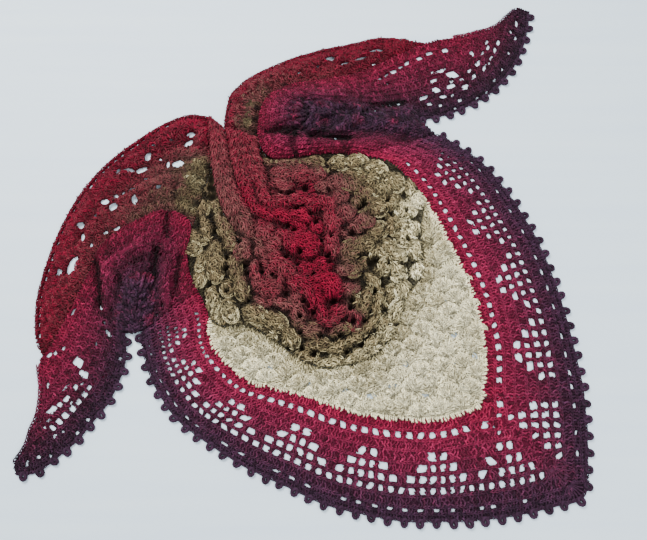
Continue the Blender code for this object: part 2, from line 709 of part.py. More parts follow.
def fan_height(x, y):
    """The flat fans: low staggered domes, in rows."""
    along = x * math.cos(FAN_LEAN) + y * math.sin(FAN_LEAN)
    across = y * math.cos(FAN_LEAN) - x * math.sin(FAN_LEAN)
    row = round(across / FAN_ROW)
    shift = 0.5 * (row % 2)
    column = round(along / FAN_WIDTH - shift)
    u = (along / FAN_WIDTH - shift - column) * 2
    v = (across / FAN_ROW - row) * 2
    return CLOTH + FAN_RISE * max(0.0, 1 - 0.8 * u * u - 0.8 * v * v)


def clear_scene():
    for item in list(bpy.data.objects):
        bpy.data.objects.remove(item)


def build_border():
    left_start = LEFT_TIP + TIP_CELLS
    right_end = RIGHT_TIP - TIP_CELLS
    lace_piece("lace_left_wing", left, left_start, LEFT_TURN_FROM, MOTIFS_LEFT)
    lace_piece("lace_left_turn", left, LEFT_TURN_FROM, LEFT_TURN_TO, (), spacing=9)
    lace_piece("lace_left_side", left, LEFT_TURN_TO, FRONT_FROM, MOTIFS_LEFT)
    lace_piece("lace_front", left, FRONT_FROM, CORNER_FROM, MOTIFS_LEFT)
    corner_outline = seam_line(corner, CORNER_FROM, CORNER_TO)
    corner_outline += row_line(corner, CORNER_TO, CORNER_FROM, EDGING_FROM)
    squares = clear_holes(corner_holes(), tidy_loop(corner_outline))
    crochet("lace_corner", "crimson", corner_outline, corner.height, squares)
    lace_piece("lace_right", right, CORNER_TO, RIGHT_TO, MOTIFS_RIGHT)
    lace_piece("lace_right_side", right, RIGHT_TO, RIGHT_TURN_FROM, (), spacing=11)
    lace_piece("lace_right_turn", right, RIGHT_TURN_FROM, RIGHT_TURN_TO, (), spacing=9)
    lace_piece("lace_right_wing", right, RIGHT_TURN_TO, right_end, MOTIFS_RIGHT)

    tip = row_line(left, LEFT_TURN_FROM, left_start, EDGING_FROM) + seam_line(left, left_start, LEFT_TIP)
    edging_piece("edging_left_wing", left, LEFT_TIP, LEFT_TURN_FROM, tip)
    turn_edging("edging_left_turn", left, LEFT_TURN_FROM, LEFT_TURN_TO)
    edging_piece("edging_left_side", left, LEFT_TURN_TO, FRONT_FROM)
    edging_piece("edging_front", left, FRONT_FROM, CORNER_FROM)
    edging_piece("edging_corner", corner, CORNER_FROM, CORNER_TO)
    edging_piece("edging_right", right, CORNER_TO, RIGHT_BUNCH_FROM)
    turn_edging("edging_right_turn", right, RIGHT_BUNCH_FROM, RIGHT_BUNCH_TO)
    tip = seam_line(right, RIGHT_TIP, right_end) + row_line(right, right_end, RIGHT_BUNCH_TO, EDGING_FROM)
    edging_piece("edging_right_wing", right, RIGHT_BUNCH_TO, RIGHT_TIP, tip)


def build_body():
    neck_left = smooth_line(NECK_LEFT, 13)
    neck_right = smooth_line(NECK_RIGHT, 13)
    crease = smooth_line(CREASE, 12)
    left_outer = smooth_line(LEFT_STRAND_OUTER[LEFT_STRAND_CLEAR:], 12)
    left_outer_by_wing = list(LEFT_STRAND_OUTER[:LEFT_STRAND_CLEAR])
    left_tail = smooth_line(LEFT_STRAND_TAIL, 12)
    right_outer = smooth_line(RIGHT_STRAND_OUTER, 12)
    right_tail = smooth_line(RIGHT_STRAND_TAIL, 12)
    divide = smooth_line((left.seam(DIVIDE_LEFT), *DIVIDE, right.seam(DIVIDE_RIGHT)), 11)

    wing_body(
        "wing_left_body",
        [
            *seam_line(left, LEFT_WING_BODY_TIP, LEFT_WING_BODY_END),
            left_outer[0],
            *left_outer_by_wing[::-1][:-1],
            *neck_left[::-1],
        ],
    )
    wing_body(
        "wing_right_body",
        [*seam_line(right, RIGHT_WING_BODY_END, RIGHT_WING_BODY_TIP), *neck_right],
    )
    strand(
        "neck_strand_left",
        [*left_outer_by_wing, *left_outer, *left_tail[::-1], *crease[::-1]],
    )
    strand("neck_strand_right", [*crease, *right_tail, *right_outer[::-1]])

    heap = [
        left_outer[0],
        *seam_line(left, LEFT_WING_BODY_END, DIVIDE_LEFT),
        *divide,
        *seam_line(right, DIVIDE_RIGHT, RIGHT_WING_BODY_END),
        *right_outer,
        *right_tail[::-1],
        *left_tail,
        *left_outer[::-1],
    ]
    crochet("body_gathered", "khaki", heap, heap_height, points=heap_points(tidy_loop(heap)))
    fans = [
        *seam_line(left, DIVIDE_LEFT, CORNER_FROM),
        *seam_line(corner, CORNER_FROM, CORNER_TO),
        *seam_line(right, CORNER_TO, DIVIDE_RIGHT),
        *divide[::-1],
    ]
    flat = filling(tidy_loop(fans), FAN_WIDTH / 2, FAN_ROW / 2, 3.5, FAN_LEAN)
    crochet("body_fans", "cream", fans, fan_height, points=flat)


def main():
    clear_scene()
    build_border()
    build_body()
    corners = [
        [c / MM for c in vertex.co] for piece in bpy.context.scene.objects for vertex in piece.data.vertices
    ]
    low, high = np.min(corners, axis=0), np.max(corners, axis=0)
    count = sum(len(face.vertices) - 2 for piece in bpy.context.scene.objects for face in piece.data.polygons)
    print("box from", np.round(low, 2), "to", np.round(high, 2), "with", count, "triangles")


main()
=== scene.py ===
# %% [markdown]
# # A crochet shawl scarf, laid on a table
#
# This lesson dresses a CAD model of a large crochet scarf. The CAD model has the scarf's true
# form, but its surfaces are plain. Crochet is nothing but yarn loops, so the looks come from
# building those loops: each stretch of the scarf gets a thin sheet, painted dark as the shade in the
# depths between the stitches, and thousands of small stitches on top of it, placed row by row.
#
# Sizes in the tables are millimetres, seen from above, as in the CAD model's own source.

import json
import math

import bpy
import numpy as np
from mathutils.geometry import delaunay_2d_cdt
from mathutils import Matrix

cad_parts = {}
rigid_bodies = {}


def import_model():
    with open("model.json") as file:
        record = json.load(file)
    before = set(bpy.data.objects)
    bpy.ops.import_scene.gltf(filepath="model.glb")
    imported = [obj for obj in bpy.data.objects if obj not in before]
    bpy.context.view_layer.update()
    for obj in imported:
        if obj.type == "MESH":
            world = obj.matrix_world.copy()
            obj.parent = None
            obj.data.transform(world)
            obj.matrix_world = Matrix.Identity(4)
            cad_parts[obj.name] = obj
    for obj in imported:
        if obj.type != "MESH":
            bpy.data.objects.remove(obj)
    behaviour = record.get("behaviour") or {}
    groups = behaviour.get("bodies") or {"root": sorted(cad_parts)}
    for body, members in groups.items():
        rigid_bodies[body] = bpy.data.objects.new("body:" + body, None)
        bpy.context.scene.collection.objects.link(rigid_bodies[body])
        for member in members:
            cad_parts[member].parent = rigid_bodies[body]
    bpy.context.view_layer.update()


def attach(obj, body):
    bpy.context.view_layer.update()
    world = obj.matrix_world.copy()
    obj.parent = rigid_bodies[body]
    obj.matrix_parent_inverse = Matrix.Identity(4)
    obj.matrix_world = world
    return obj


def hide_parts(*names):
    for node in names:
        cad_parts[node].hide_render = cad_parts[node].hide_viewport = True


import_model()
MM = 0.001
dice = np.random.default_rng(11)

# %% [markdown]
# ## The camera
#
# The photograph was taken from nearly above: the border keeps one width all round the scarf when
# the camera is tilted 14 degrees from straight down. The camera is made first, so that every later
# piece can be looked at from the right place.

# %% Camera
SENSOR = 36
FOCAL_IN_PHOTO, PHOTO_WIDTH = 580, 647  # pixels
TILT = 14
camera = bpy.data.objects.new("photo_camera", bpy.data.cameras.new("photo_camera"))
camera.data.sensor_width = SENSOR
camera.data.lens = FOCAL_IN_PHOTO / PHOTO_WIDTH * SENSOR
camera.location = (0.01986, -0.2067, 0.6753)
camera.rotation_euler = (math.radians(TILT), 0, 0)
bpy.context.scene.collection.objects.link(camera)
bpy.context.scene.camera = camera
print("camera with a lens of", round(camera.data.lens, 2), "mm")

# %% [markdown]
# ## Sums with shader sockets
#
# Every yarn colour below is a small sum of noises and stripes. Written with nodes alone such a sum
# is hard to read, so one small class wraps an output socket and turns ordinary Python sums into
# Math nodes. Another makes a material and any node in it.

# %% A socket that can be added and multiplied
class Value:
    """A shader socket in a material, with the usual operators."""

    def __init__(self, finish, socket):
        self.finish = finish
        self.socket = socket

    def sum(self, operation, *others):
        inputs = {i: other for i, other in enumerate((self, *others))}
        return self.finish.node("ShaderNodeMath", {"operation": operation}, inputs)

    def __add__(self, other):
        return self.sum("ADD", other)

    def __sub__(self, other):
        return self.sum("SUBTRACT", other)

    def __mul__(self, other):
        return self.sum("MULTIPLY", other)

    def __rsub__(self, other):
        return self.finish.node("ShaderNodeMath", {"operation": "SUBTRACT"}, {0: other, 1: self})

    __radd__ = __add__
    __rmul__ = __mul__


class Finish:
    """A material whose nodes are made by one method."""

    def __init__(self, name):
        self.material = bpy.data.materials.new(name)
        self.material.use_nodes = True
        self.tree = self.material.node_tree
        self.shader = self.tree.nodes["Principled BSDF"]

    def node(self, kind, settings=None, inputs=None, output=0):
        made = self.tree.nodes.new(kind)
        for key, value in (settings or {}).items():
            if key == "stops":
                self.set_stops(made.color_ramp, value)
            else:
                setattr(made, key, value)
        for key, value in (inputs or {}).items():
            self.feed(made.inputs[key], value)
        return Value(self, made.outputs[output])

    def noise(self, place, scale, detail, roughness=0.5):
        inputs = {"Vector": place, "Scale": scale, "Detail": detail, "Roughness": roughness}
        return self.node("ShaderNodeTexNoise", inputs=inputs)

    def carried(self):
        """Where a point is, and the tone and light of the stitch that it belongs to."""
        place = self.node("ShaderNodeTexCoord", output="Object")
        names = [{"attribute_name": name} for name in ("tone", "light")]
        return place, *[self.node("ShaderNodeAttribute", settings, output="Fac") for settings in names]

    def set_stops(self, ramp, stops):
        while len(ramp.elements) < len(stops):
            ramp.elements.new(1.0)
        for element, (position, colour) in zip(ramp.elements, stops):
            element.position = position
            element.color = colour

    def feed(self, socket, value):
        if isinstance(value, Value):
            self.tree.links.new(value.socket, socket)
        else:
            socket.default_value = value

    def set(self, **values):
        for name, value in values.items():
            self.feed(self.shader.inputs[name.replace("_", " ")], value)


print("sockets can be added, subtracted and multiplied")

# %% [markdown]
# ## The two yarns
#
# The body yarn shades slowly from bright red through brown and khaki to cream. Such a yarn is spun
# from thin strands that change colour one after the other, so the shades between are a marl: both
# colours lie side by side in fine flecks. The border yarn goes from crimson through plum to a dark
# purple. Each stitch carries two numbers: "tone", its place along the yarn's run of colours, and
# "light", how bright that stitch is painted: painted light and shade where it lies in folds, on
# puffs and rims or in pits, and a random part. The material turns these into a colour, adds the
# twist of the plies along the stitch, with painted shade in the groove between them, and the fuzz
# of the fibre, and bumps the surface with both.

# %% Colours
def shown(red, green, blue):
    """A colour given as a screen shows it, 0 to 255, as the light that a shader works with."""
    parts = [v / 255 for v in (red, green, blue)]
    return (*[v / 12.92 if v <= 0.04045 else ((v + 0.055) / 1.055) ** 2.4 for v in parts], 1.0)


BODY_RUN = (
    (0.0, shown(129, 7, 41)),
    (0.10, shown(116, 14, 41)),
    (0.22, shown(113, 46, 54)),
    (0.38, shown(104, 64, 60)),
    (0.54, shown(96, 80, 58)),
    (0.68, shown(117, 104, 74)),
    (0.84, shown(184, 173, 133)),
    (1.0, shown(250, 241, 200)),
)
BORDER_RUN = (
    (0.0, shown(148, 26, 62)),
    (0.30, shown(136, 33, 68)),
    (0.50, shown(114, 32, 62)),
    (0.68, shown(92, 34, 60)),
    (0.80, shown(78, 36, 60)),
    (0.92, shown(63, 34, 56)),
    (1.0, shown(56, 33, 53)),
)
print("body yarn has", len(BODY_RUN), "shades and border yarn", len(BORDER_RUN))

# %% [markdown]
# ### Yarn as a material
#
# Every stitch carries a tone, a light and a UV of its own. The tone picks the shade of the yarn,
# the light makes a stitch paler or darker, and the UV lays the two plies of the yarn along it.

# %% Yarn as a material
def yarn(name, run, marl):
    """A matt, slightly hairy two-ply yarn, for stitches that carry tone, light and a stitch UV."""
    finish = Finish(name)
    place, tone, light = finish.carried()
    uv = finish.node("ShaderNodeUVMap", {"uv_map": "stitch"})
    along = finish.node("ShaderNodeSeparateXYZ", inputs={0: uv}, output="X")
    around = finish.node("ShaderNodeSeparateXYZ", inputs={0: uv}, output="Y")
    fibre = finish.noise(place, 1500, 3, 0.65)
    cloud = finish.noise(place, 320, 2)
    twist = (along * 3.0 + around * 2.0).sum("FRACT")
    ply = (1.0 - (twist * 2.0 - 1.0).sum("ABSOLUTE")).sum("SMOOTH_MIN", 0.7, 0.3)
    fleck = (cloud - 0.5) * marl + (fibre - 0.5) * (marl * 0.6)
    colour = finish.node("ShaderNodeValToRGB", {"stops": run}, {0: tone + fleck})
    # Painted light and shade: the stitch's light number scales its colour, and the groove between the two
    # plies is painted darker; the fibre noise varies it at random.
    depth = light * (0.5 + ply * 0.75) * (0.6 + fibre * 0.8)
    shaded = finish.node("ShaderNodeVectorMath", {"operation": "SCALE"}, {0: colour, "Scale": depth})
    raised = {"Height": ply + fibre * 0.5, "Strength": 0.7, "Distance": 0.0005}
    bump = finish.node("ShaderNodeBump", inputs=raised)
    finish.set(Base_Color=shaded, Roughness=0.88, Normal=bump, Specular_IOR_Level=0.15)
    finish.set(Sheen_Weight=0.025, Sheen_Roughness=0.5)
    return finish.material


def depths(name, run, dark):
    """The yarn deep between the stitches, painted dark for the little light that gets in there."""
    finish = Finish(name)
    place, tone, light = finish.carried()
    fibre = finish.noise(place, 420, 4, 0.7)
    colour = finish.node("ShaderNodeValToRGB", {"stops": run}, {0: tone + (fibre - 0.5) * 0.1})
    # Painted shade: a fixed dark share, times the sheet's own light number.
    depth = (0.3 + fibre * 1.4) * light * dark
    shaded = finish.node("ShaderNodeVectorMath", {"operation": "SCALE"}, {0: colour, "Scale": depth})
    bump = finish.node("ShaderNodeBump", inputs={"Height": fibre, "Strength": 0.8, "Distance": 0.001})
    finish.set(Base_Color=shaded, Roughness=0.95, Normal=bump, Specular_IOR_Level=0.1)
    finish.set(Sheen_Weight=0.02)
    return finish.material


body_yarn = yarn("body_yarn", BODY_RUN, 0.21)
border_yarn = yarn("border_yarn", BORDER_RUN, 0.14)
body_shaded_depths = depths("body_yarn_shaded_depths", BODY_RUN, 0.34)
border_shaded_depths = depths("border_yarn_shaded_depths", BORDER_RUN, 0.36)
print("materials:", [m.name for m in (body_yarn, border_yarn, body_shaded_depths, border_shaded_depths)])

# %% [markdown]
# ## The shapes of single stitches
#
# Only four shapes are needed. A post is the tall part of a treble: two strands twisted round each
# other. A link is the V at the top of a stitch, which follows the edge of its row. A picot is a
# small ring of chain on the edge, and a curl is one short bent strand. Each is a tube round a
# line, so one helper makes them all. A shape that is repeated thousands of times can have only a
# few dozen faces.

# %% Tubes as stitch shapes
def tube(name, line, sides, ring, closed=False, lobes=0.0, turns=0.0):
    """A tube round a line of places, with an optional two-lobed section that twists along it."""
    line = np.array(line, float)
    count = len(line)
    way = np.roll(line, -1, axis=0) - np.roll(line, 1, axis=0)
    if not closed:
        way[0], way[-1] = line[1] - line[0], line[-1] - line[-2]
    way /= np.linalg.norm(way, axis=1)[:, None]
    side = np.cross([0.0, 0.0, 1.0], way)
    side /= np.maximum(np.linalg.norm(side, axis=1)[:, None], 1e-6)
    up = np.cross(way, side)
    points, uvs = [], []
    for i in range(count):
        twist = turns * 2 * math.pi * i / max(1, count - 1)
        for k in range(sides):
            angle = 2 * math.pi * k / sides
            reach = 1 - lobes * math.sin(angle) ** 2
            angle_now = angle + twist
            taper = ring[i] if isinstance(ring, (list, tuple)) else ring
            across = reach * taper * math.cos(angle_now)
            above = reach * taper * math.sin(angle_now)
            points.append(line[i] + side[i] * across + up[i] * above)
    faces = []
    rings = count if closed else count - 1
    for i in range(rings):
        for k in range(sides):
            a, b = i * sides + k, i * sides + (k + 1) % sides
            c, d = ((i + 1) % count) * sides + (k + 1) % sides, ((i + 1) % count) * sides + k
            faces.append((a, b, c, d))
            uvs.extend([(i / rings, k / sides), (i / rings, (k + 1) / sides),
                        ((i + 1) / rings, (k + 1) / sides), ((i + 1) / rings, k / sides)])
    if not closed:
        for first, order in ((0, range(sides - 1, -1, -1)), ((count - 1) * sides, range(sides))):
            faces.append([first + k for k in order])
            uvs.extend([(0.0 if first == 0 else 1.0, 0.25)] * sides)
    mesh = bpy.data.meshes.new(name)
    mesh.from_pydata([tuple(p) for p in points], [], faces)
    mesh.uv_layers.new(name="stitch").data.foreach_set("uv", np.array(uvs).ravel())
    mesh.polygons.foreach_set("use_smooth", [True] * len(mesh.polygons))
    mesh.update()
    return bpy.data.objects.new(name, mesh)


POST_LINE = [(-0.5, 0, -0.12), (-0.26, 0, 0.02), (0, 0, 0.08), (0.26, 0, 0.02), (0.5, 0, -0.12)]
LINK_LINE = [(0.58, -0.42, -0.2), (0.1, -0.34, 0.12), (-0.42, 0, 0.0), (0.1, 0.34, 0.12), (0.58, 0.42, -0.2)]
RING_LINE = [(0.34 * math.cos(a), 0.5 * math.sin(a), 0.0) for a in [2 * math.pi * i / 10 for i in range(10)]]
CURL_LINE = [(-0.5, -0.35, -0.45), (-0.18, 0.2, 0.2), (0.18, 0.25, 0.2), (0.5, -0.3, -0.45)]
POST, LINK, PICOT, CURL = range(4)
stitch_shapes = bpy.data.collections.new("stitch_shapes")
for made in (
    tube("stitch_0_post", POST_LINE, 6, [0.4, 0.5, 0.5, 0.5, 0.4], lobes=0.42, turns=0.75),
    tube("stitch_1_link", LINK_LINE, 3, [0.18, 0.27, 0.29, 0.27, 0.18]),
    tube("stitch_2_picot", RING_LINE, 5, 0.27, closed=True),
    tube("stitch_3_curl", CURL_LINE, 3, [0.3, 0.5, 0.5, 0.3]),
):
    stitch_shapes.objects.link(made)
    made.data.calc_loop_triangles()
    print(made.name, "has", len(made.data.loop_triangles), "triangles")

# %% [markdown]
# ## One Geometry Nodes tree that works every stitch
#
# A stretch of crochet holds thousands of stitches. Each is one point with a few numbers on it: the
# shape that stands there, its turn, its size, its tone and its light. A single node tree puts the
# shapes on the points, moves each a little, as no stitch lies exactly in line, and makes the result
# real. The points come from Python, because they follow the scarf's own rows.

# %% The stitch tree
def socket_in(tree, name, kind, value=None):
    """Gives the tree one more input, with its usual value."""
    made = tree.interface.new_socket(name, in_out="INPUT", socket_type=kind)
    if value is not None:
        made.default_value = value
    return made


def number_from(tree, name, kind):
    """Reads a number kept on the points."""
    node = tree.nodes.new("GeometryNodeInputNamedAttribute")
    node.data_type = kind
    node.inputs["Name"].default_value = name
    return node.outputs["Attribute"]


def stitch_tree():
    """Shakes the points a little, sets a stitch shape on each and makes the result real."""
    tree = bpy.data.node_groups.new("work_stitches", "GeometryNodeTree")
    tree.interface.new_socket("Points", in_out="INPUT", socket_type="NodeSocketGeometry")
    socket_in(tree, "Stitch shapes", "NodeSocketCollection")
    socket_in(tree, "Yarn", "NodeSocketMaterial")
    socket_in(tree, "Unevenness", "NodeSocketFloat", 0.0)
    socket_in(tree, "Seed", "NodeSocketInt", 1)
    tree.interface.new_socket("Crochet", in_out="OUTPUT", socket_type="NodeSocketGeometry")
    new, link = tree.nodes.new, tree.links.new
    start, end = new("NodeGroupInput"), new("NodeGroupOutput")
    shake = new("FunctionNodeRandomValue")
    shake.data_type = "FLOAT_VECTOR"
    shake.inputs["Min"].default_value = (-1, -1, -0.6)
    shake.inputs["Max"].default_value = (1, 1, 0.6)
    link(start.outputs["Seed"], shake.inputs["Seed"])
    by = new("ShaderNodeVectorMath")
    by.operation = "SCALE"
    link(shake.outputs["Value"], by.inputs[0])
    link(start.outputs["Unevenness"], by.inputs["Scale"])
    moved = new("GeometryNodeSetPosition")
    link(start.outputs["Points"], moved.inputs["Geometry"])
    link(by.outputs["Vector"], moved.inputs["Offset"])
    shapes = new("GeometryNodeCollectionInfo")
    shapes.inputs["Separate Children"].default_value = True
    shapes.inputs["Reset Children"].default_value = True
    link(start.outputs["Stitch shapes"], shapes.inputs["Collection"])
    turn = new("FunctionNodeEulerToRotation")
    link(number_from(tree, "turn", "FLOAT_VECTOR"), turn.inputs[0])
    put = new("GeometryNodeInstanceOnPoints")
    put.inputs["Pick Instance"].default_value = True
    link(moved.outputs["Geometry"], put.inputs["Points"])
    link(shapes.outputs["Instances"], put.inputs["Instance"])
    link(number_from(tree, "shape", "INT"), put.inputs["Instance Index"])
    link(turn.outputs[0], put.inputs["Rotation"])
    link(number_from(tree, "size", "FLOAT_VECTOR"), put.inputs["Scale"])
    real = new("GeometryNodeRealizeInstances")
    link(put.outputs["Instances"], real.inputs["Geometry"])
    finish = new("GeometryNodeSetMaterial")
    link(real.outputs["Geometry"], finish.inputs["Geometry"])
    link(start.outputs["Yarn"], finish.inputs["Material"])
    link(finish.outputs["Geometry"], end.inputs["Crochet"])
    return tree


work_stitches = stitch_tree()
print("stitch tree has", len(work_stitches.nodes), "nodes")

# %% [markdown]
# ### A basket of stitches
#
# The stitches of a piece are gathered first, each as one row of numbers: its middle, its turn, its
# size, its tone, its light and its shape. Then the node tree sets a stitch shape on every row, and
# the result is kept as one plain mesh.

# %% A basket of stitches, and the piece that they make
class Stitches:
    """Stitches gathered for one piece: each runs from one place to another."""

    def __init__(self):
        self.rows = []

    def add(self, shape, start, end, width, height, tone, light, roll, longer):
        start, end = np.atleast_2d(start), np.atleast_2d(end)
        way = end - start
        flat = np.hypot(way[:, 0], way[:, 1])
        length = np.maximum(np.sqrt(flat**2 + way[:, 2] ** 2), 0.3)
        count = len(start)
        full = [np.broadcast_to(np.asarray(v, float), count) for v in (width, height, tone, light, roll)]
        self.rows.append(np.column_stack([
            (start + end) / 2, full[4], -np.arctan2(way[:, 2], flat), np.arctan2(way[:, 1], way[:, 0]),
            length * longer, full[0], full[1], full[2], full[3], np.full(count, shape),
        ]))

    def clear(self, rings):
        """Takes away the stitches that would run across the middle of an opening."""
        table = np.concatenate(self.rows)
        crosses = np.zeros(len(table), bool)
        for ring in rings:
            ring = np.array(ring)
            ring = (ring.mean(axis=0) + (ring - ring.mean(axis=0)) * 0.85).tolist()
            for part in (-0.3, 0.0, 0.3):
                x = table[:, 0] + np.cos(table[:, 5]) * table[:, 6] * part
                y = table[:, 1] + np.sin(table[:, 5]) * table[:, 6] * part
                near = np.hypot(x - ring[0][0], y - ring[0][1]) < 30
                crosses[near] |= inside(ring, x[near], y[near])
        self.rows = [table[~crosses]]

    def piece(self, name, material, unevenness=0.25):
        """Works all the stitches as one plain mesh object."""
        table = np.concatenate(self.rows)
        points = bpy.data.meshes.new(name)
        places = (table[:, :3] - (MIDDLE_X, MIDDLE_Y, 0)) * MM
        points.from_pydata([tuple(p) for p in places], [], [])
        for key, kind, columns in (
            ("turn", "FLOAT_VECTOR", table[:, 3:6]),
            ("size", "FLOAT_VECTOR", table[:, 6:9] * MM),
            ("tone", "FLOAT", table[:, 9]),
            ("light", "FLOAT", table[:, 10]),
            ("shape", "INT", table[:, 11].astype(int)),
        ):
            data = points.attributes.new(key, kind, "POINT").data
            data.foreach_set("vector" if kind == "FLOAT_VECTOR" else "value", columns.ravel())
        holder = bpy.data.objects.new(name + "_points", points)
        bpy.context.scene.collection.objects.link(holder)
        modifier = holder.modifiers.new("work_stitches", "NODES")
        modifier.node_group = work_stitches
        inputs = {i.name: i.identifier for i in work_stitches.interface.items_tree if i.in_out == "INPUT"}
        modifier[inputs["Stitch shapes"]] = stitch_shapes
        modifier[inputs["Yarn"]] = material
        modifier[inputs["Unevenness"]] = unevenness * MM
        modifier[inputs["Seed"]] = 3
        graph = bpy.context.evaluated_depsgraph_get()
        mesh = bpy.data.meshes.new_from_object(holder.evaluated_get(graph), depsgraph=graph)
        bpy.data.objects.remove(holder)
        for key in ("turn", "size", "shape"):
            if key in mesh.attributes:
                mesh.attributes.remove(mesh.attributes[key])
        mesh.name = name
        piece = bpy.data.objects.new(name, mesh)
        bpy.context.scene.collection.objects.link(piece)
        low = np.empty(len(mesh.vertices) * 3, np.float32)
        mesh.vertices.foreach_get("co", low)
        low = low.reshape(-1, 3)
        low[:, 2] = np.maximum(low[:, 2], 0.0)
        mesh.vertices.foreach_set("co", low.ravel())
        mesh.update()
        count = sum(len(p.vertices) - 2 for p in mesh.polygons)
        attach(piece, "root")
        print(f"{name}: {len(table)} stitches, {count} triangles")
        return piece


print("a basket can add stitches, clear them from openings and work them as one piece")

# %% [markdown]
# ## Posts and covers of short strands
#
# Seen from above, a treble's post is not a smooth rope: its two strands cross each other two or
# three times, so it reads as a few short bent strands that lean left and right in turn. A post is
# therefore three curls. Where the cloth is puffed, the same curls lie all over it.

# %% Crossing strands
CURLS_A_POST = 3


def along_way(middle, turn, half, slope):
    """The two ends of strands that lie over their middles at a given turn."""
    step = np.column_stack([np.cos(turn), np.sin(turn), np.broadcast_to(slope, np.shape(turn))]) * half
    return middle - step, middle + step


def braid(stitches, start, end, thick, tone, light, lean=0.55):
    """Posts as three short strands each, which cross on the way up."""
    way = end - start
    length = np.maximum(np.linalg.norm(way, axis=1), 0.5)
    turn = np.arctan2(way[:, 1], way[:, 0])
    first = np.where(dice.random(len(start)) < 0.5, 1, -1)
    for part in range(CURLS_A_POST):
        lean_now = first * (1 if part % 2 else -1) * lean + dice.normal(0, 0.22, len(start))
        middle = start + way * ((part + 0.5) / CURLS_A_POST)
        middle = middle + np.column_stack([dice.normal(0, 0.25, len(start))] * 3) * (1, -1, 0.6)
        half = np.maximum(length[:, None] / CURLS_A_POST * 0.66, 1.5)
        low, high = along_way(middle, turn + lean_now, half, way[:, 2] / length)
        shade = light * dice.normal(1.0, 0.3, len(start)).clip(0.35, 1.8)
        roll = dice.normal(0, 0.35, len(start))
        stitches.add(CURL, low, high, thick, thick * 0.9, tone, shade, roll, 1.0)


print("a post is", CURLS_A_POST, "curls")

# %% [markdown]
# ## The scarf's own geometry
#
# The border is counted in cells of its last mesh row, and in shares of its width, as in the CAD
# model. A table gives, for a few cells, where the border meets the body and where its edge lies.
# Everything in between runs smoothly. One change from the CAD source: here every function takes
# many places at once, because there are thousands of stitches to place.

# %% Tables of the border
# How thick the flat cloth is, and the share of the border's width at which its edging begins.
CLOTH = 2.6
EDGING_FROM = 0.78
# The middle of the tables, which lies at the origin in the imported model.
MIDDLE_X = 4.145
MIDDLE_Y = 1.295
# Columns: cell, seam x and y, edge x and y, share of the rows still there, rise over the table.
LEFT_HALF = (
    (-89.5, -318, -257, -315, -269, 0.14, 0),
    (-87.5, -308, -240, -293, -267, 0.33, 0),
    (-85.3, -304, -223, -273, -252, 0.45, 0),
    (-82.9, -298, -203, -252, -234, 0.58, 0),
    (-80.6, -298, -176, -235, -212, 0.78, 0),
    (-78.5, -303, -145, -220, -192, 1, 0),
    (-76.7, -292, -128, -211, -170, 1, 1),
    (-74.9, -284, -111, -205, -149, 1, 2),
    (-72, -267, -71, -207, -114, 1, 5),
    (-69, -255, -41, -206, -94, 1, 8),
    (-66, -249, -18, -204, -79, 1, 10),
    (-63, -236, 0, -201, -68, 1, 11),
    (-60, -216, 16, -197, -64, 1, 12),
    (-57, -194, 28, -193, -63, 1, 12),
    (-54, -172, 37, -190, -64, 1, 12),
    (-51, -150, 32, -186, -70, 1, 11),
    (-48, -136, 14, -183, -79, 1, 9),
    (-46, -140, -9, -183, -89, 1, 8),
    (-44, -137, -36, -185, -100, 1, 6),
    (-41, -124, -64, -187, -111, 1, 4),
    (-38, -113, -84, -188, -119, 1, 2),
    (-35, -109, -102, -186, -128, 1, 0),
    (-31.5, -106, -123, -179, -149, 1, 0),
    (-28, -97, -136, -166, -176, 1, 0),
    (-24.5, -76, -157, -140, -210, 1, 0),
    (-21, -55, -170, -108, -233, 1, 0),
    (-17.5, -23, -177, -63, -260, 1, 0),
    (-14, 8, -186, -18, -280, 1, 0),
    (-10.5, 43, -198, 25, -299, 1, 0),
    (-7, 78, -206, 66, -309, 1, 0),
    (-3.5, 115, -210, 107, -316, 1, 0),
    (0, 153, -210, 148, -317, 1, 0),
    (4, 196, -199, 190, -316, 1, 0),
    (8, 242, -193, 235, -310, 1, 0),
    (12, 286, -178, 279, -301, 1, 0),
)
RIGHT_HALF = (
    (12, 205, -271, 316, -267, 1, 0),
    (16, 206, -224, 318, -223, 1, 0),
    (19.5, 205, -185, 319, -184, 1, 0),
    (24, 210, -137, 313, -129, 1, 0),
    (27.5, 207, -101, 305, -81, 1, 0),
    (31, 200, -67, 294, -36, 1, 0),
    (34.5, 187, -30, 281, 3, 1, 0),
    (38, 172, 4, 264, 38, 1, 0),
    (41.5, 156, 38, 247, 68, 1, 0),
    (45, 139, 69, 224, 99, 1, 0),
    (48.5, 111, 100, 198, 120, 1, 1),
    (52, 76, 111, 167, 139, 1, 2),
    (55.5, 42, 114, 121, 149, 1, 5),
    (59, 13, 112, 70, 152, 1, 8),
    (62, -11, 107, 34, 153, 1, 12),
    (65, -35, 104, 11, 153, 1, 14),
    (68, -51, 114, 2, 155, 1, 16),
    (71, -58, 132, -2, 159, 1, 16),
    (74, -58, 154, -3, 165, 1, 16),
    (77, -54, 177, -1, 171, 1, 15),
    (80, -42, 196, 6, 175, 1, 13),
    (83, -19, 208, 20, 174, 1, 11),
    (86.5, 22, 216, 60, 169, 1, 8),
    (90, 66, 226, 102, 164, 1, 5),
    (94, 113, 249, 145, 161, 1, 2),
    (97, 141, 264, 171, 165, 1, 0),
    (100, 171, 276, 197, 174, 1, 0),
    (103, 195, 281, 224, 188, 1, 0),
    (105.5, 213, 284, 247, 205, 0.9, 0),
    (107.5, 229, 289, 265, 226, 0.78, 0),
    (109.5, 244, 293, 279, 248, 0.61, 0),
    (111.5, 259, 302, 290, 275, 0.45, 0),
    (113.5, 272, 315, 297, 301, 0.3, 0),
    (115, 287, 327, 300, 321, 0.16, 0),
)
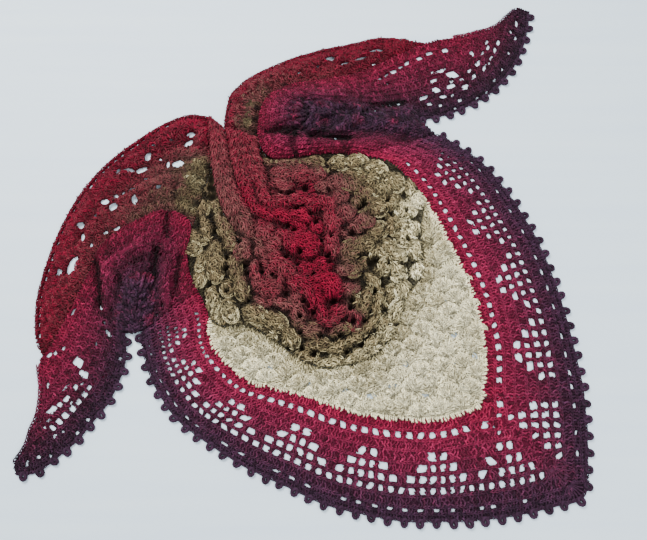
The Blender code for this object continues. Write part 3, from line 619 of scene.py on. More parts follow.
CORNER = (
    (4, 196, -199, 190, -316, 1, 0),
    (8, 200, -196, 236, -310, 1, 0),
    (10.5, 202, -193, 277, -301, 1, 0),
    (12, 203, -190, 307, -293, 1, 0),
    (13.5, 204, -189, 313, -269, 1, 0),
    (16, 205, -187, 318, -229, 1, 0),
    (19.5, 205, -185, 319, -184, 1, 0),
)
# Columns: a crease's two ends, its half width, and its height, below 0 for a groove.
TURN_FOLDS = (
    (-247, -29, -238, -80, 6, -6),
    (-234, -32, -229, -75, 6, 3),
    (-221, -35, -215, -56, 5, -4),
    (-233, -23, -207, -7, 4, -3),
    (-200, -50, -196, -96, 11, 4),
    (-175, -15, -178, -65, 6, -6),
    (-164, -37, -159, -75, 6, 4),
    (-148, -24, -152, -70, 5, -5),
    (-167, 38, -164, 2, 5, -5),
    (-150, 21, -152, 18, 9, 3),
    (-37, 140, -3, 142, 5, -7),
    (-32, 166, -22, 166, 14, 3),
    (-36, 118, -14, 122, 10, 2),
    (26, 152, 54, 168, 11, -11),
    (2, 160, 22, 158, 8, 2),
    (60, 176, 80, 158, 10, 3),
    (-6, 121, 108, 124, 8, 3),
    (8, 134.7, 56, 133.5, 4.5, -16),
    (76, 170, 124, 183.5, 5, -12),
    (-48, 139, -9, 134, 4, -6),
    (-1, 184, 1, 152, 4, -5),
    (-14, 125, -10, 102, 4, -6),
    (51, 124, 54, 103, 4, -6),
    (17, 118, 20, 105, 3, -3),
    (-28, 166, -24, 162, 13, 4),
    (-35, 119, -31, 117, 9, 3),
    (9, 189, 50, 194, 6, 3),
    (12, 158, 17, 154, 7, 5),
    (60, 176, 80, 165, 6, 4),
    (55, 150, 72, 154, 5, 4),
    (85, 182, 110, 165, 4, -4),
    (-54, 201, -6, 204, 4, -3),
    (101, 154, 126, 143, 5, 4),
    (-217, -16, -194, -11, 6, 3),
    (-240, -22, -232, -9, 5, -3),
    (-207, -31, -181, -26, 4, -3),
    (-224, -47, -214, -31, 5, 3),
    (-198, -76, -195, -83, 10, 5),
)
print("border tables:", len(LEFT_HALF), len(RIGHT_HALF), len(CORNER), "stations")

# %% [markdown]
# ### Reading the tables
#
# A table gives a few stations along an edge, and a smooth curve runs through them. A fold is a
# rounded ridge or groove between two places. A place on the border is known by a cell number along
# it and a share of the way across it.

# %% Smooth tables and folds
class Smooth:
    """A table whose columns run smoothly from row to row over its first column."""

    def __init__(self, rows):
        table = np.array(rows, float)
        self.at_rows = table[:, 0]
        self.values = table[:, 1:]
        self.slopes = np.gradient(self.values, self.at_rows, axis=0)

    def __call__(self, where):
        where = np.asarray(where, float)
        row = np.clip(np.searchsorted(self.at_rows, where) - 1, 0, len(self.at_rows) - 2)
        step = (self.at_rows[row + 1] - self.at_rows[row])[..., None]
        f = (where - self.at_rows[row])[..., None] / step
        start, end = self.values[row], self.values[row + 1]
        leave, arrive = self.slopes[row] * step, self.slopes[row + 1] * step
        lift = f * f * (3 - 2 * f)
        return start + (end - start) * lift + leave * f * (1 - f) ** 2 - arrive * f * f * (1 - f)


def fold_height(folds, x, y):
    """How far the ridges of a table of folds lift the cloth, and its grooves sink it."""
    x, y = np.asarray(x, float), np.asarray(y, float)
    lift, sink = np.zeros(x.shape), np.zeros(x.shape)
    for x0, y0, x1, y1, half_width, height in folds:
        length = math.hypot(x1 - x0, y1 - y0)
        way_x, way_y = (x1 - x0) / length, (y1 - y0) / length
        along = (x - x0) * way_x + (y - y0) * way_y
        beyond = np.maximum(0.0, np.maximum(-along, along - length))
        across = (y - y0) * way_x - (x - x0) * way_y
        bump = height * np.exp(-1.3 * (across**2 + beyond**2) / half_width**2)
        lift, sink = np.maximum(lift, bump), np.minimum(sink, bump)
    return lift + sink


class Lace:
    """One half of the border: it turns cell numbers and shares of the width into places."""

    def __init__(self, stations):
        self.table = Smooth(stations)

    def place(self, cell, share):
        row = self.table(cell)
        inward = (1 - np.asarray(share, float)) / row[..., 4]
        x = row[..., 2] + (row[..., 0] - row[..., 2]) * inward
        y = row[..., 3] + (row[..., 1] - row[..., 3]) * inward
        return x, y

    def height(self, cell, share):
        """How high the lace's top lies: flat, or arched and pleated where it is gathered."""
        x, y = self.place(cell, share)
        rise = np.maximum(0.0, self.table(cell)[..., 5])
        arch = 0.55 + 0.45 * np.sin(math.pi * np.asarray(share))
        pleat = 0.14 * share * np.cos(2 * math.pi * np.asarray(cell) / 3)
        return CLOTH + np.maximum(0.0, rise * (arch + pleat) + fold_height(TURN_FOLDS, x, y))

    def light(self, cell, share):
        """Less light falls into the grooves of the gathered lace, and more on its ridges."""
        x, y = self.place(cell, share)
        return np.clip(1 + 0.16 * fold_height(TURN_FOLDS, x, y), 0.12, 1.35)

    def spot(self, cell, share, over=0.0):
        """Places on the lace, as x, y and z."""
        x, y = self.place(cell, share)
        return np.column_stack([x, y, self.height(cell, share) + over])

    def starts(self, cell):
        """The share at which the border's rows begin here, the others having ended at the neck."""
        return 1 - self.table(cell)[..., 4]


left = Lace(LEFT_HALF)
right = Lace(RIGHT_HALF)
corner = Lace(CORNER)
print("border is", round(float(np.hypot(*np.subtract(left.place(-7, 0), left.place(-7, 1)))), 1), "mm deep")

# %% [markdown]
# ## Closed lines on the table
#
# Each stretch of cloth is known by its outline. Two questions come up again and again: which of
# many places lie inside an outline, and how far each is from it. Both are answered for all places
# at once.

# %% Inside and distance
def inside(loop, x, y):
    """Which of many places lie inside a closed line."""
    loop = np.asarray(loop, float)
    ax, ay = loop[:, 0], loop[:, 1]
    bx, by = np.roll(ax, -1), np.roll(ay, -1)
    x, y = np.asarray(x, float)[..., None], np.asarray(y, float)[..., None]
    rise = np.where(by == ay, 1e-9, by - ay)
    crosses = ((ay > y) != (by > y)) & (x < (bx - ax) * (y - ay) / rise + ax)
    return crosses.sum(axis=-1) % 2 == 1


def distance_to(loop, x, y):
    """How far each place lies from a closed line."""
    start = np.asarray(loop, float)
    way = np.roll(start, -1, axis=0) - start
    to_x = np.asarray(x, float)[..., None] - start[:, 0]
    to_y = np.asarray(y, float)[..., None] - start[:, 1]
    f = (to_x * way[:, 0] + to_y * way[:, 1]) / np.maximum(np.sum(way * way, axis=1), 1e-9)
    f = np.clip(f, 0, 1)
    return np.min(np.hypot(to_x - way[:, 0] * f, to_y - way[:, 1] * f), axis=-1)


def nearest_of(known_x, known_y, x, y):
    """For each place the number of the nearest known place."""
    x, y = np.asarray(x, float), np.asarray(y, float)
    found = [
        np.argmin((x[at:at + 500, None] - known_x) ** 2 + (y[at:at + 500, None] - known_y) ** 2, axis=1)
        for at in range(0, len(x), 500)
    ]
    return np.concatenate(found) if found else np.array([], int)


def pairs(x, y):
    """Two arrays as one list of places."""
    return list(zip(x.tolist(), y.tolist()))


def area(loop):
    """The area inside a closed line, below 0 when it runs clockwise."""
    x, y = np.array(loop, float).T
    return 0.5 * float(np.dot(x, np.roll(y, -1)) - np.dot(y, np.roll(x, -1)))


def tidy_loop(loop, apart=0.4):
    """The loop counter-clockwise, with no two neighbours in one place."""
    kept = []
    for point in loop:
        if not kept or math.dist(point, kept[-1]) > apart:
            kept.append((float(point[0]), float(point[1])))
    if math.dist(kept[0], kept[-1]) < apart:
        kept.pop()
    return kept if area(kept) > 0 else kept[::-1]


def drawn_in(loop, by):
    """The loop moved inwards by a little."""
    points = np.array(loop)
    before = unit(points - np.roll(points, 1, axis=0))
    after = unit(np.roll(points, -1, axis=0) - points)
    normals = [-right_of(way) for way in (before, after)]
    middle = normals[0] + normals[1]
    middle /= np.maximum(np.linalg.norm(middle, axis=1)[:, None], 1e-6)
    spread = np.maximum(np.sum(middle * normals[0], axis=1), 0.35)[:, None]
    return [tuple(point) for point in points + middle * by / spread]


def length_along(points):
    """How far along a line of straight steps each of its points lies."""
    return np.concatenate([[0], np.cumsum(np.linalg.norm(np.diff(points, axis=0), axis=1))])


def smooth_line(points, spacing):
    """A smooth line through a few points, given back as points about one spacing apart."""
    points = np.array(points, float)
    along = length_along(points)
    line = Smooth(np.column_stack([along, points]))
    count = max(2, int(round(along[-1] / spacing)) + 1)
    return [tuple(p) for p in line(np.linspace(0, along[-1], count))]


def evenly(points, spacing):
    """Places at an even spacing along a line of straight steps."""
    points = np.array(points, float)
    along = length_along(points)
    at = np.linspace(0, along[-1], max(2, int(round(along[-1] / spacing)) + 1))
    return np.column_stack([np.interp(at, along, points[:, k]) for k in (0, 1)])


def unit(way):
    """Ways with a length of one."""
    return way / np.linalg.norm(way, axis=1)[:, None]


def right_of(way):
    """The ways that point to the right of some ways along a line."""
    return np.column_stack([way[:, 1], -way[:, 0]])


def grid_in(loop, across, up, margin, lean=0.0):
    """Places in staggered rows inside a loop, as two arrays."""
    reach = float(np.abs(np.array(loop)).max()) * 1.5
    row, column = np.meshgrid(
        np.arange(-int(reach / up), int(reach / up) + 1),
        np.arange(-int(reach / across), int(reach / across) + 1),
    )
    u, w = ((column + 0.5 * (row % 2)) * across).ravel(), (row * up).ravel()
    x, y = u * math.cos(lean) - w * math.sin(lean), u * math.sin(lean) + w * math.cos(lean)
    low, high = np.min(loop, axis=0), np.max(loop, axis=0)
    near = (x > low[0]) & (x < high[0]) & (y > low[1]) & (y < high[1])
    x, y = x[near], y[near]
    kept = inside(loop, x, y)
    x, y = x[kept], y[kept]
    kept = distance_to(loop, x, y) > margin
    return x[kept], y[kept]


print("a unit square has an area of", area([(0, 0), (1, 0), (1, 1), (0, 1)]))

# %% [markdown]
# ## The sheets under the stitches
#
# Under every stretch lies one sheet of cloth, about a yarn's thickness below the tops of the
# stitches. It carries the cloth's form, closes the gaps, and is painted dark as the shade in the
# depths, which makes crochet look knotted. It is cut right through where the lace is open. Its
# faces come from a Delaunay triangulation, which can follow any outline with any number of holes.

# %% A sheet with openings
SHEET_DEPTH = 1.5


def triangles_in(loop, holes, points):
    """Places and triangles inside a loop, outside its holes, facing up."""
    corners, edges = list(loop), []
    for ring in [loop, *holes]:
        first = 0 if ring is loop else len(corners)
        if ring is not loop:
            corners.extend(ring)
        edges.extend((first + i, first + (i + 1) % len(ring)) for i in range(len(ring)))
    corners.extend(points)
    made = delaunay_2d_cdt(corners, edges, [], 0, 1e-6)
    if len(made[0]) != len(corners):
        return np.array(corners), np.zeros((0, 3), int)
    places = np.array(corners)
    faces = np.array([[made[3][i][0] for i in face] for face in made[2]])
    middle = places[faces].mean(axis=1)
    kept = inside(loop, middle[:, 0], middle[:, 1])
    for hole in holes:
        kept &= ~inside(hole, middle[:, 0], middle[:, 1])
    faces = faces[kept]
    a, b, c = (places[faces[:, k]] for k in range(3))
    turn = (b[:, 0] - a[:, 0]) * (c[:, 1] - a[:, 1]) - (b[:, 1] - a[:, 1]) * (c[:, 0] - a[:, 0])
    faces[turn < 0] = faces[turn < 0][:, ::-1]
    return places, faces


def under_sheet(name, outline, top, tone, material, nodes, cut, holes, spacing, low=None, light=None):
    """A closed sheet below the stitches. It replaces the CAD nodes of its stretch."""
    holes = [tidy_loop(hole) for hole in holes]
    for by in (0.2, 0.1, 0.0):
        loop = drawn_in(tidy_loop(outline, 2.2), by)
        x, y = grid_in(loop, spacing, spacing * 0.87, spacing * 0.45)
        clear = np.ones(len(x), bool)
        for hole in holes:
            clear &= ~inside(hole, x, y) & (distance_to(hole, x, y) > 1.2)
        corners, faces = triangles_in(loop, holes, pairs(x[clear], y[clear]))
        if len(faces):
            break
    highs = np.maximum(top(corners[:, 0], corners[:, 1]), 0.5)
    lows = np.zeros(len(corners)) if low is None else np.maximum(0.0, low(corners[:, 0], corners[:, 1]))
    lows = np.minimum(lows, highs - 0.4)
    count = len(corners)
    shift = (MIDDLE_X, MIDDLE_Y, 0)
    upper = (np.column_stack([corners, highs]) - shift) * MM
    under = (np.column_stack([corners, lows]) - shift) * MM
    walls, first = [], 0
    for ring in [loop, *holes]:
        for i in range(len(ring)):
            a, b = first + i, first + (i + 1) % len(ring)
            wall = (count + a, count + b, b, a)
            walls.append(wall if ring is loop else wall[::-1])
        first += len(ring)
    mesh = bpy.data.meshes.new(name)
    mesh.from_pydata(
        [tuple(p) for p in np.concatenate([upper, under])],
        [],
        [*faces.tolist(), *(faces[:, ::-1] + count).tolist(), *walls],
    )
    mesh.polygons.foreach_set("use_smooth", [True] * len(mesh.polygons))
    shades = tone(corners[:, 0], corners[:, 1])
    lights = np.ones(count) if light is None else light(corners[:, 0], corners[:, 1])
    for label, values in (("tone", shades), ("light", lights)):
        mesh.attributes.new(label, "FLOAT", "POINT").data.foreach_set("value", np.tile(values, 2))
    mesh.materials.append(material)
    mesh.update()
    piece = bpy.data.objects.new(name, mesh)
    bpy.context.scene.collection.objects.link(piece)
    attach(piece, "root")
    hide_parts(*nodes)
    print(f"{name}: {len(mesh.polygons)} faces, {len(holes)} openings, cut {cut}")
    return piece


# Pulled flat, crochet is about a tenth larger than as it lies.
EASE = 1.1
# Each cut: its depth across the rows in metres, and the share of its rectangle that openings and
# tapers leave.
BORDER_CUT, LACE_CUT, EDGING_CUT, STRAND_CUT = (0.104, 0.87), (0.081, 0.87), (0.023, 0.87), (0.05, 0.87)
CUTS = {
    "border_left_turn": LACE_CUT, "border_right_turn": LACE_CUT, "border_right_side": LACE_CUT,
    "bunch_left_turn": EDGING_CUT, "bunch_right_turn": EDGING_CUT,
    "strand_left_sheet": STRAND_CUT, "strand_right_sheet": STRAND_CUT,
    "body_fans_sheet": (0.15, 0.8), "body_gathered_sheet": (0.25, 0.8),
    "wing_left_sheet": (0.12, 0.6), "wing_right_sheet": (0.07, 0.6),
}


def declare(sheet, stitches):
    """Works out a cut's length from the depth of its rows and the area of its cloth; the result is not kept.
    """
    area_flat = EASE * sum(p.area for p in sheet.data.polygons) / 2
    depth, filled = CUTS.get(sheet.name, BORDER_CUT)
    area_flat / filled / depth


print("sheets lie", round(CLOTH - SHEET_DEPTH, 2), "mm over the table where the scarf is flat")

# %% [markdown]
# ## Open squares of the lace
#
# The lace is worked like filet crochet: posts and gaps in squares, so that open triangles stand
# between solid ones. In the real thing no two squares are alike, because the yarn pulls each one a
# little out of shape. So each opening below is a rounded square with its own lean and size, and
# the posts beside it follow its sides. The motifs repeat; the openings of the turns, the tips and
# the corner are placed one by one, as they are seen.

# %% Tables and shapes of the openings
# The rows of the border begin and end at these shares of its width.
ROWS = (0.0, 0.115, 0.215, 0.318, 0.44, 0.553, 0.665, 0.768, 0.87, 0.935, 1.0)
CELLS_PER_MOTIF = 7
# Low and high share, and each opening's distance from the motif's middle and half width, in cells.
MESH_ROWS = (
    (0.125, 0.205, ((0.58, 0.36), (1.75, 0.36), (2.92, 0.36))),
    (0.33, 0.43, ((0.62, 0.44),)),
    (0.45, 0.54, ((0.48, 0.32), (1.6, 0.5))),
    (0.565, 0.65, ((0.5, 0.32), (1.48, 0.34), (2.62, 0.44))),
    (0.68, 0.755, ((0.5, 0.31), (1.5, 0.31), (2.5, 0.31), (3.5, 0.31))),
)
# A motif's middle cell, and how wide open its squares are.
MOTIFS_LEFT = ((-35, 0.9), (-28, 0.95), (-21, 1), (-14, 1), (-7, 1), (0, 1))
MOTIFS_RIGHT = ((24, 0.93), (31, 0.84), (38, 0.8), (45, 0.74))
CORNER_CELL = 12
CORNER_MARGIN = 2.5
# Columns: first and last cell, low and high share, half width.
CORNER_MESH_LEFT = (
    (4.5, 10.5, 0.68, 0.755, 0.31),
    (4.6, 4.6, 0.565, 0.65, 0.42),
    (6.5, 10.5, 0.565, 0.65, 0.32),
    (5.4, 5.4, 0.45, 0.54, 0.45),
    (7.2, 9.2, 0.45, 0.54, 0.32),
    (6.3, 8.3, 0.33, 0.42, 0.34),
    (3.9, 9.9, 0.125, 0.205, 0.34),
)
CORNER_MESH_RIGHT = (
    (13.6, 19.6, 0.68, 0.755, 0.31),
    (14.6, 18.6, 0.565, 0.65, 0.34),
    (15.6, 17.6, 0.45, 0.54, 0.32),
    (18.5, 18.5, 0.45, 0.54, 0.42),
    (16.6, 17.6, 0.33, 0.42, 0.34),
    (14.7, 18.7, 0.125, 0.205, 0.34),
)


def corner_line():
    """The two ends of the line on which both sides meet at the point of the scarf."""
    return [[float(v) for v in corner.place(CORNER_CELL, share)] for share in (0, 1)]


def motif_squares(motifs):
    """Every open square of a list of motifs: its cell, half width and low and high share."""
    squares = []
    for middle, wide in motifs:
        for low, high, row in MESH_ROWS:
            shut = (high - low) / 2 * (1 - wide)
            for off, half in row:
                for side in (-1, 1):
                    if side > 0 or off <= CELLS_PER_MOTIF / 2 - 0.2:
                        squares.append((middle + side * off, half * wide, low + shut, high - shut))
    return squares


def corner_squares(lace, rows, side):
    """The corner's open squares on one side of its middle line."""
    inner, outer = corner_line()
    squares = []
    for first, last, low, high, half in rows:
        for i in range(int(round(last - first)) + 1):
            cell = first + i
            ring = [lace.place(cell + a, b) for a in (-half, half) for b in (low, high)]
            off = [side * area([inner, outer, [float(v) for v in p]]) for p in ring]
            if min(off) > 0.5 * CORNER_MARGIN * math.dist(inner, outer):
                squares.append((cell, half, low, high))
    return squares


def opening(lace, cell, half, low, high):
    """The outline of one opening: a rounded square, pulled out of shape by the yarn."""
    angles = np.arange(8) * math.pi / 4 + dice.normal(0, 0.1, 8)
    round_off = np.maximum(np.abs(np.cos(angles)), np.abs(np.sin(angles))) ** 0.8
    lean = dice.normal(0, 0.34)
    size = dice.uniform(0.84, 1.12)
    u = np.cos(angles) / round_off * half * size * dice.uniform(0.78, 1.12, 8)
    v = np.sin(angles) / round_off * min(0.96, size) * dice.uniform(0.76, 1.08, 8)
    u = u + lean * v * half
    return pairs(*lace.place(cell + u, (low + high) / 2 + v * (high - low) / 2))


def fits(x, y, loop, others, margin=1.6):
    """Whether an opening lies wholly inside a loop, and clear of other openings."""
    if not inside(loop, x, y).all() or distance_to(loop, x, y).min() < margin:
        return False
    return all(distance_to(other, x, y).min() > 0.8 and not inside(other, x, y).any() for other in others)


def clear_rings(rings, outline, margin=1.6):
    """The openings that lie wholly inside an outline, and clear of each other."""
    loop, kept = tidy_loop(outline), []
    for ring in rings:
        if fits(*np.array(ring).T, loop, kept, margin):
            kept.append(ring)
    return kept


# First and last cell of each stretch with small slits in the middle close row.
SLITS_LEFT = ((-38, 3),)
SLITS_RIGHT = ((20, 51),)
SLITS_CORNER = (((4, 10.4),), ((13.6, 19),))
# Openings pulled out of the squares by the folds: cell, half width, low and high share.
LEFT_UNEVEN = (
    (-49.2, 0.5, 0.66, 0.74), (-68.7, 0.35, 0.3, 0.34), (-70.4, 0.35, 0.64, 0.69),
    (-70, 0.4, 0.48, 0.52), (-43.2, 0.45, 0.57, 0.63), (-41.6, 0.4, 0.42, 0.48),
    (-42.2, 0.45, 0.7, 0.75), (-66.5, 0.25, 0.18, 0.21), (-65.2, 0.25, 0.19, 0.22),
    (-63.9, 0.25, 0.2, 0.23), (-62.6, 0.25, 0.2, 0.23), (-61.3, 0.25, 0.21, 0.24),
    (-57, 0.3, 0.44, 0.47), (-59, 0.3, 0.5, 0.53), (-52.6, 0.3, 0.4, 0.44), (-51.2, 0.3, 0.5, 0.54),
    (-47.6, 0.3, 0.34, 0.38), (-46.4, 0.35, 0.48, 0.53), (-71.3, 0.24, 0.412, 0.508),
    (-83.3, 0.32, 0.628, 0.732), (-82.4, 0.31, 0.628, 0.732), (-81.6, 0.32, 0.628, 0.732),
    (-80.7, 0.35, 0.647, 0.753), (-79.9, 0.35, 0.657, 0.743), (-79, 0.28, 0.657, 0.743),
    (-78.3, 0.34, 0.665, 0.735), (-81.9, 0.53, 0.468, 0.572), (-81, 0.36, 0.497, 0.583),
    (-80.2, 0.42, 0.517, 0.603), (-78.8, 0.34, 0.525, 0.595), (-78.3, 0.27, 0.575, 0.625),
    (-79.4, 0.35, 0.435, 0.485), (-80.3, 0.28, 0.609, 0.671), (-76.8, 0.49, 0.33, 0.51),
    (-77.5, 0.34, 0.472, 0.648), (-72.4, 0.35, 0.513, 0.687), (-73.1, 0.25, 0.627, 0.773),
    (-83.8, 0.24, 0.755, 0.805), (-86.6, 0.31, 0.829, 0.891), (-82.3, 0.21, 0.915, 0.965),
    (-85.5, 0.22, 0.913, 0.967), (-80.8, 0.21, 0.913, 0.967), (-76.3, 0.24, 0.133, 0.187),
    (-77.1, 0.22, 0.073, 0.127), (-82.9, 0.32, 0.555, 0.605), (-83.8, 0.27, 0.586, 0.654),
    (-76.6, 0.7, 0.02, 0.114), (-77.6, 0.42, 0.02, 0.09), (-73.1, 0.42, 0.022, 0.078),
    (-72.3, 0.42, 0.048, 0.132),
)
RIGHT_UNEVEN = (
    (51.4, 0.4, 0.7, 0.75), (52.8, 0.3, 0.52, 0.57), (54.2, 0.35, 0.66, 0.71),
    (55.8, 0.3, 0.7, 0.74), (53.2, 0.3, 0.28, 0.32), (57.4, 0.3, 0.6, 0.65),
    (59.6, 0.35, 0.68, 0.72), (61.2, 0.3, 0.7, 0.74), (98.8, 0.46, 0.109, 0.171),
    (101.1, 0.57, 0.121, 0.199), (105, 0.35, 0.308, 0.412), (107.8, 0.49, 0.413, 0.467),
    (109.2, 0.45, 0.585, 0.655), (109.8, 0.36, 0.573, 0.627), (107.4, 0.38, 0.473, 0.527),
    (108.1, 0.38, 0.585, 0.655), (106.4, 0.5, 0.445, 0.515), (105.1, 0.49, 0.506, 0.574),
    (105.6, 0.43, 0.625, 0.695), (107, 0.34, 0.613, 0.667), (106.4, 0.27, 0.633, 0.687),
    (97.4, 0.39, 0.136, 0.184), (95.6, 0.41, 0.131, 0.189), (94.6, 0.46, 0.146, 0.214),
    (93.6, 0.42, 0.165, 0.235), (92.7, 0.41, 0.182, 0.258), (91.9, 0.32, 0.204, 0.276),
    (92.4, 0.21, 0.331, 0.389), (99.4, 0.83, 0.393, 0.447), (100.9, 0.9, 0.464, 0.576),
    (98.3, 0.48, 0.369, 0.431), (98.2, 0.57, 0.485, 0.555), (98, 0.59, 0.594, 0.686),
    (100.1, 0.69, 0.629, 0.691), (100.5, 0.35, 0.576, 0.624), (102, 0.52, 0.699, 0.781),
    (103.8, 0.42, 0.626, 0.694), (103.4, 0.35, 0.531, 0.589), (102, 0.35, 0.595, 0.645),
    (96, 0.73, 0.668, 0.732), (96.5, 0.46, 0.776, 0.824), (98.7, 0.5, 0.733, 0.787),
    (99.9, 0.34, 0.756, 0.804), (103, 0.31, 0.935, 0.975), (104.4, 0.22, 0.935, 0.975),
    (105.9, 0.25, 0.869, 0.931), (100.7, 0.34, 0.856, 0.904), (99.7, 0.25, 0.94, 0.975),
    (97.9, 0.27, 0.84, 0.88), (107.3, 0.18, 0.858, 0.902), (109.3, 0.2, 0.813, 0.867),
    (111.2, 0.25, 0.833, 0.887), (113, 0.41, 0.813, 0.867), (111.6, 0.21, 0.733, 0.787),
)


def slits(stretches):
    """The small openings of the middle close row, one at every cell and a half, a few left out."""
    cells = np.concatenate([np.arange(a, b, 1.5) for a, b in stretches])
    cells = cells[dice.random(len(cells)) < 0.8] + 0.4
    return [(c + dice.normal(0, 0.15), 0.29, 0.88, 0.92) for c in cells]


def oval(x, y, length, width, turn):
    """An uneven opening as a ring of places."""
    angles = np.arange(10) * math.pi / 5
    u = 0.5 * length * np.cos(angles) * dice.uniform(0.74, 1.12, 10)
    v = 0.52 * width * np.sin(angles) * dice.uniform(0.7, 1.12, 10)
    lean = math.radians(turn)
    return pairs(x + u * math.cos(lean) - v * math.sin(lean), y + u * math.sin(lean) + v * math.cos(lean))


# Openings that no row of squares holds. Columns: middle, length, width and turn in degrees.
TURN_HOLES = (
    (13.4, 134.7, 7, 3.0, 5), (39.1, 133.7, 6.5, 4.2, 0), (50.3, 133.7, 7, 3.0, -5),
    (79.3, 171.9, 7.5, 5.5, 30), (89.4, 172.6, 6, 4.5, 40), (99.9, 180.3, 6.5, 4.5, 30),
    (110.2, 180.8, 6, 5, 30), (120.6, 182.8, 6, 4, 30), (-210.2, -142.2, 7, 5, 60),
    (-239.4, -126.1, 6, 3.2, 100), (-290.8, -172.7, 9, 3, 95), (-295.2, -212.4, 8, 3, 60),
    (-302.9, -231.8, 7, 3, 60), (-304.0, -258.2, 9, 3.4, 80), (-292.5, -253.0, 8, 5, 30),
    (-299.9, -143.3, 5, 3.2, 80), (-241.4, -211.3, 5, 4, 0), (-253.5, -224.2, 6, 5, 40),
    (-268.1, -224.2, 4, 3, 0),
)
TURN_RINGS = [oval(*row) for row in TURN_HOLES]
CORNER_HOLES = (
    (222.5, -206.5, 7.5, 5, 0), (234.8, -208, 8.5, 7, 20), (214.9, -218.9, 6, 3.4, 40),
    (221.2, -224.3, 7, 3.6, 60),
)
left_squares = [*motif_squares(MOTIFS_LEFT), *LEFT_UNEVEN, *slits(SLITS_LEFT)]
right_squares = [*motif_squares(MOTIFS_RIGHT), *RIGHT_UNEVEN, *slits(SLITS_RIGHT)]
print(len(left_squares) + len(right_squares), "open squares in the two sides")

# %% [markdown]
# ## Working the border, row by row
#
# Ten rows run the whole way round: seven of lace and three close ones that end in picots. In each
# row the posts stand about 3.3 mm apart, and a chain of links runs along its top. Where the lace is
# gathered, the rows draw together, so the number of posts follows the real length of the row and
# not its cells. Posts stay out of the openings, but two stand right beside each.

# %% Rows of posts and links
POST_PITCH, LINK_PITCH, CHAIN_PITCH, PICOT_PITCH = 3.3, 3.9, 3.8, 17.4
POST_THICK, POST_LEAN, POST_GAP = 2.0, 0.22, 0.1
LACE_ROWS = range(7)
PICOT_FOOT = ((-6.0, -3.6), (-3.6, -2.2), (-1.2, -0.8), (1.2, 0.8), (3.6, 2.2), (6.0, 3.6))


def cells_along(lace, first, last, share, pitch):
    """Cells along a row at an even pitch in the cloth, from where the row has begun."""
    cells = np.arange(first, last + 0.01, 0.25)
    x, y = lace.place(cells, share)
    step = np.hypot(np.diff(x), np.diff(y))
    there = lace.starts((cells[1:] + cells[:-1]) / 2) < share + 0.02
    along = np.concatenate([[0], np.cumsum(np.where(there, step, 0.0))])
    count = int(round(along[-1] / pitch))
    if count < 1:
        return np.array([])
    return np.interp((np.arange(count) + 0.5) / count * along[-1], along, cells)


def beside(cells, squares, low, high):
    """Keeps cells clear of the openings of one row, and adds a post on each side of them."""
    found = [s for s in squares if min(high, s[3]) - max(low, s[2]) > 0.45 * (high - low)]
    sides = []
    for cell, half, _, _ in found:
        cells = cells[np.abs(cells - cell) > half + 0.16]
        sides += [cell - half - POST_GAP, cell + half + POST_GAP]
    sides = [s for s in sides if all(abs(s - f[0]) > f[1] for f in found)]
    sides = [s for s in sides if cells_in_reach(s, cells)]
    return np.sort(np.concatenate([cells, sides])) if sides else cells


def cells_in_reach(side, cells):
    """Whether a post beside an opening still belongs to this stretch of the row."""
    return len(cells) == 0 or cells.min() - 2 < side < cells.max() + 2


def work_rows(stitches, lace, first, last, squares, skip=None, rows=None, bright=1.0):
    """Posts and links of the border's rows over a stretch of cells."""
    for row, (low, high) in enumerate(zip(ROWS[:-1], ROWS[1:])):
        if rows is not None and row not in rows:
            continue
        middle = (low + high) / 2
        posts = beside(cells_along(lace, first, last, middle, POST_PITCH), squares, low, high)
        posts = posts[(posts > first) & (posts < last)]
        if skip is not None and len(posts):
            posts = posts[~skip(posts, middle)]
        if len(posts):
            count = len(posts)
            lean = dice.normal(POST_LEAN if row % 2 else -POST_LEAN, 0.12, count) * (high - low) * 9
            lean = np.clip(lean, -0.3, 0.3) * 0.55
            begin = np.maximum(low, lace.starts(posts))
            start = lace.spot(posts - lean / 2, begin, -0.8 + dice.normal(0, 0.15, count))
            end = lace.spot(posts + lean / 2, high - 0.004, -0.8 + dice.normal(0, 0.15, count))
            # Painted shade: bright dims the whole stretch where it is folded or gathered, and the lace's
            # light darkens its grooves and lightens its ridges.
            light = dice.normal(bright, 0.2, count).clip(0.4, 1.6) * lace.light(posts, middle)
            tone = middle + dice.normal(0, 0.035, count)
            braid(stitches, start, end, dice.normal(POST_THICK, 0.2, count), tone, light)
        links = cells_along(lace, first, last, high, LINK_PITCH)
        if skip is not None and len(links):
            links = links[~skip(links, high)]
        if len(links) and high < 0.999:
            count = len(links)
            pitch = np.gradient(links) if count > 1 else np.array([0.33])
            half = np.clip(pitch, 0.1, 1.5) * 0.52
            start = lace.spot(links - half, high, -0.35 + dice.normal(0, 0.15, count))
            end = lace.spot(links + half, high, -0.35 + dice.normal(0, 0.15, count))
            light = dice.normal(1.1 * bright, 0.3, count).clip(0.3, 1.8) * lace.light(links, high)
            tone = high + dice.normal(0, 0.04, count)
            stitches.add(LINK, start, end, dice.normal(3.3, 0.3, count), 2.4, tone, light, 0.0, 1.15)


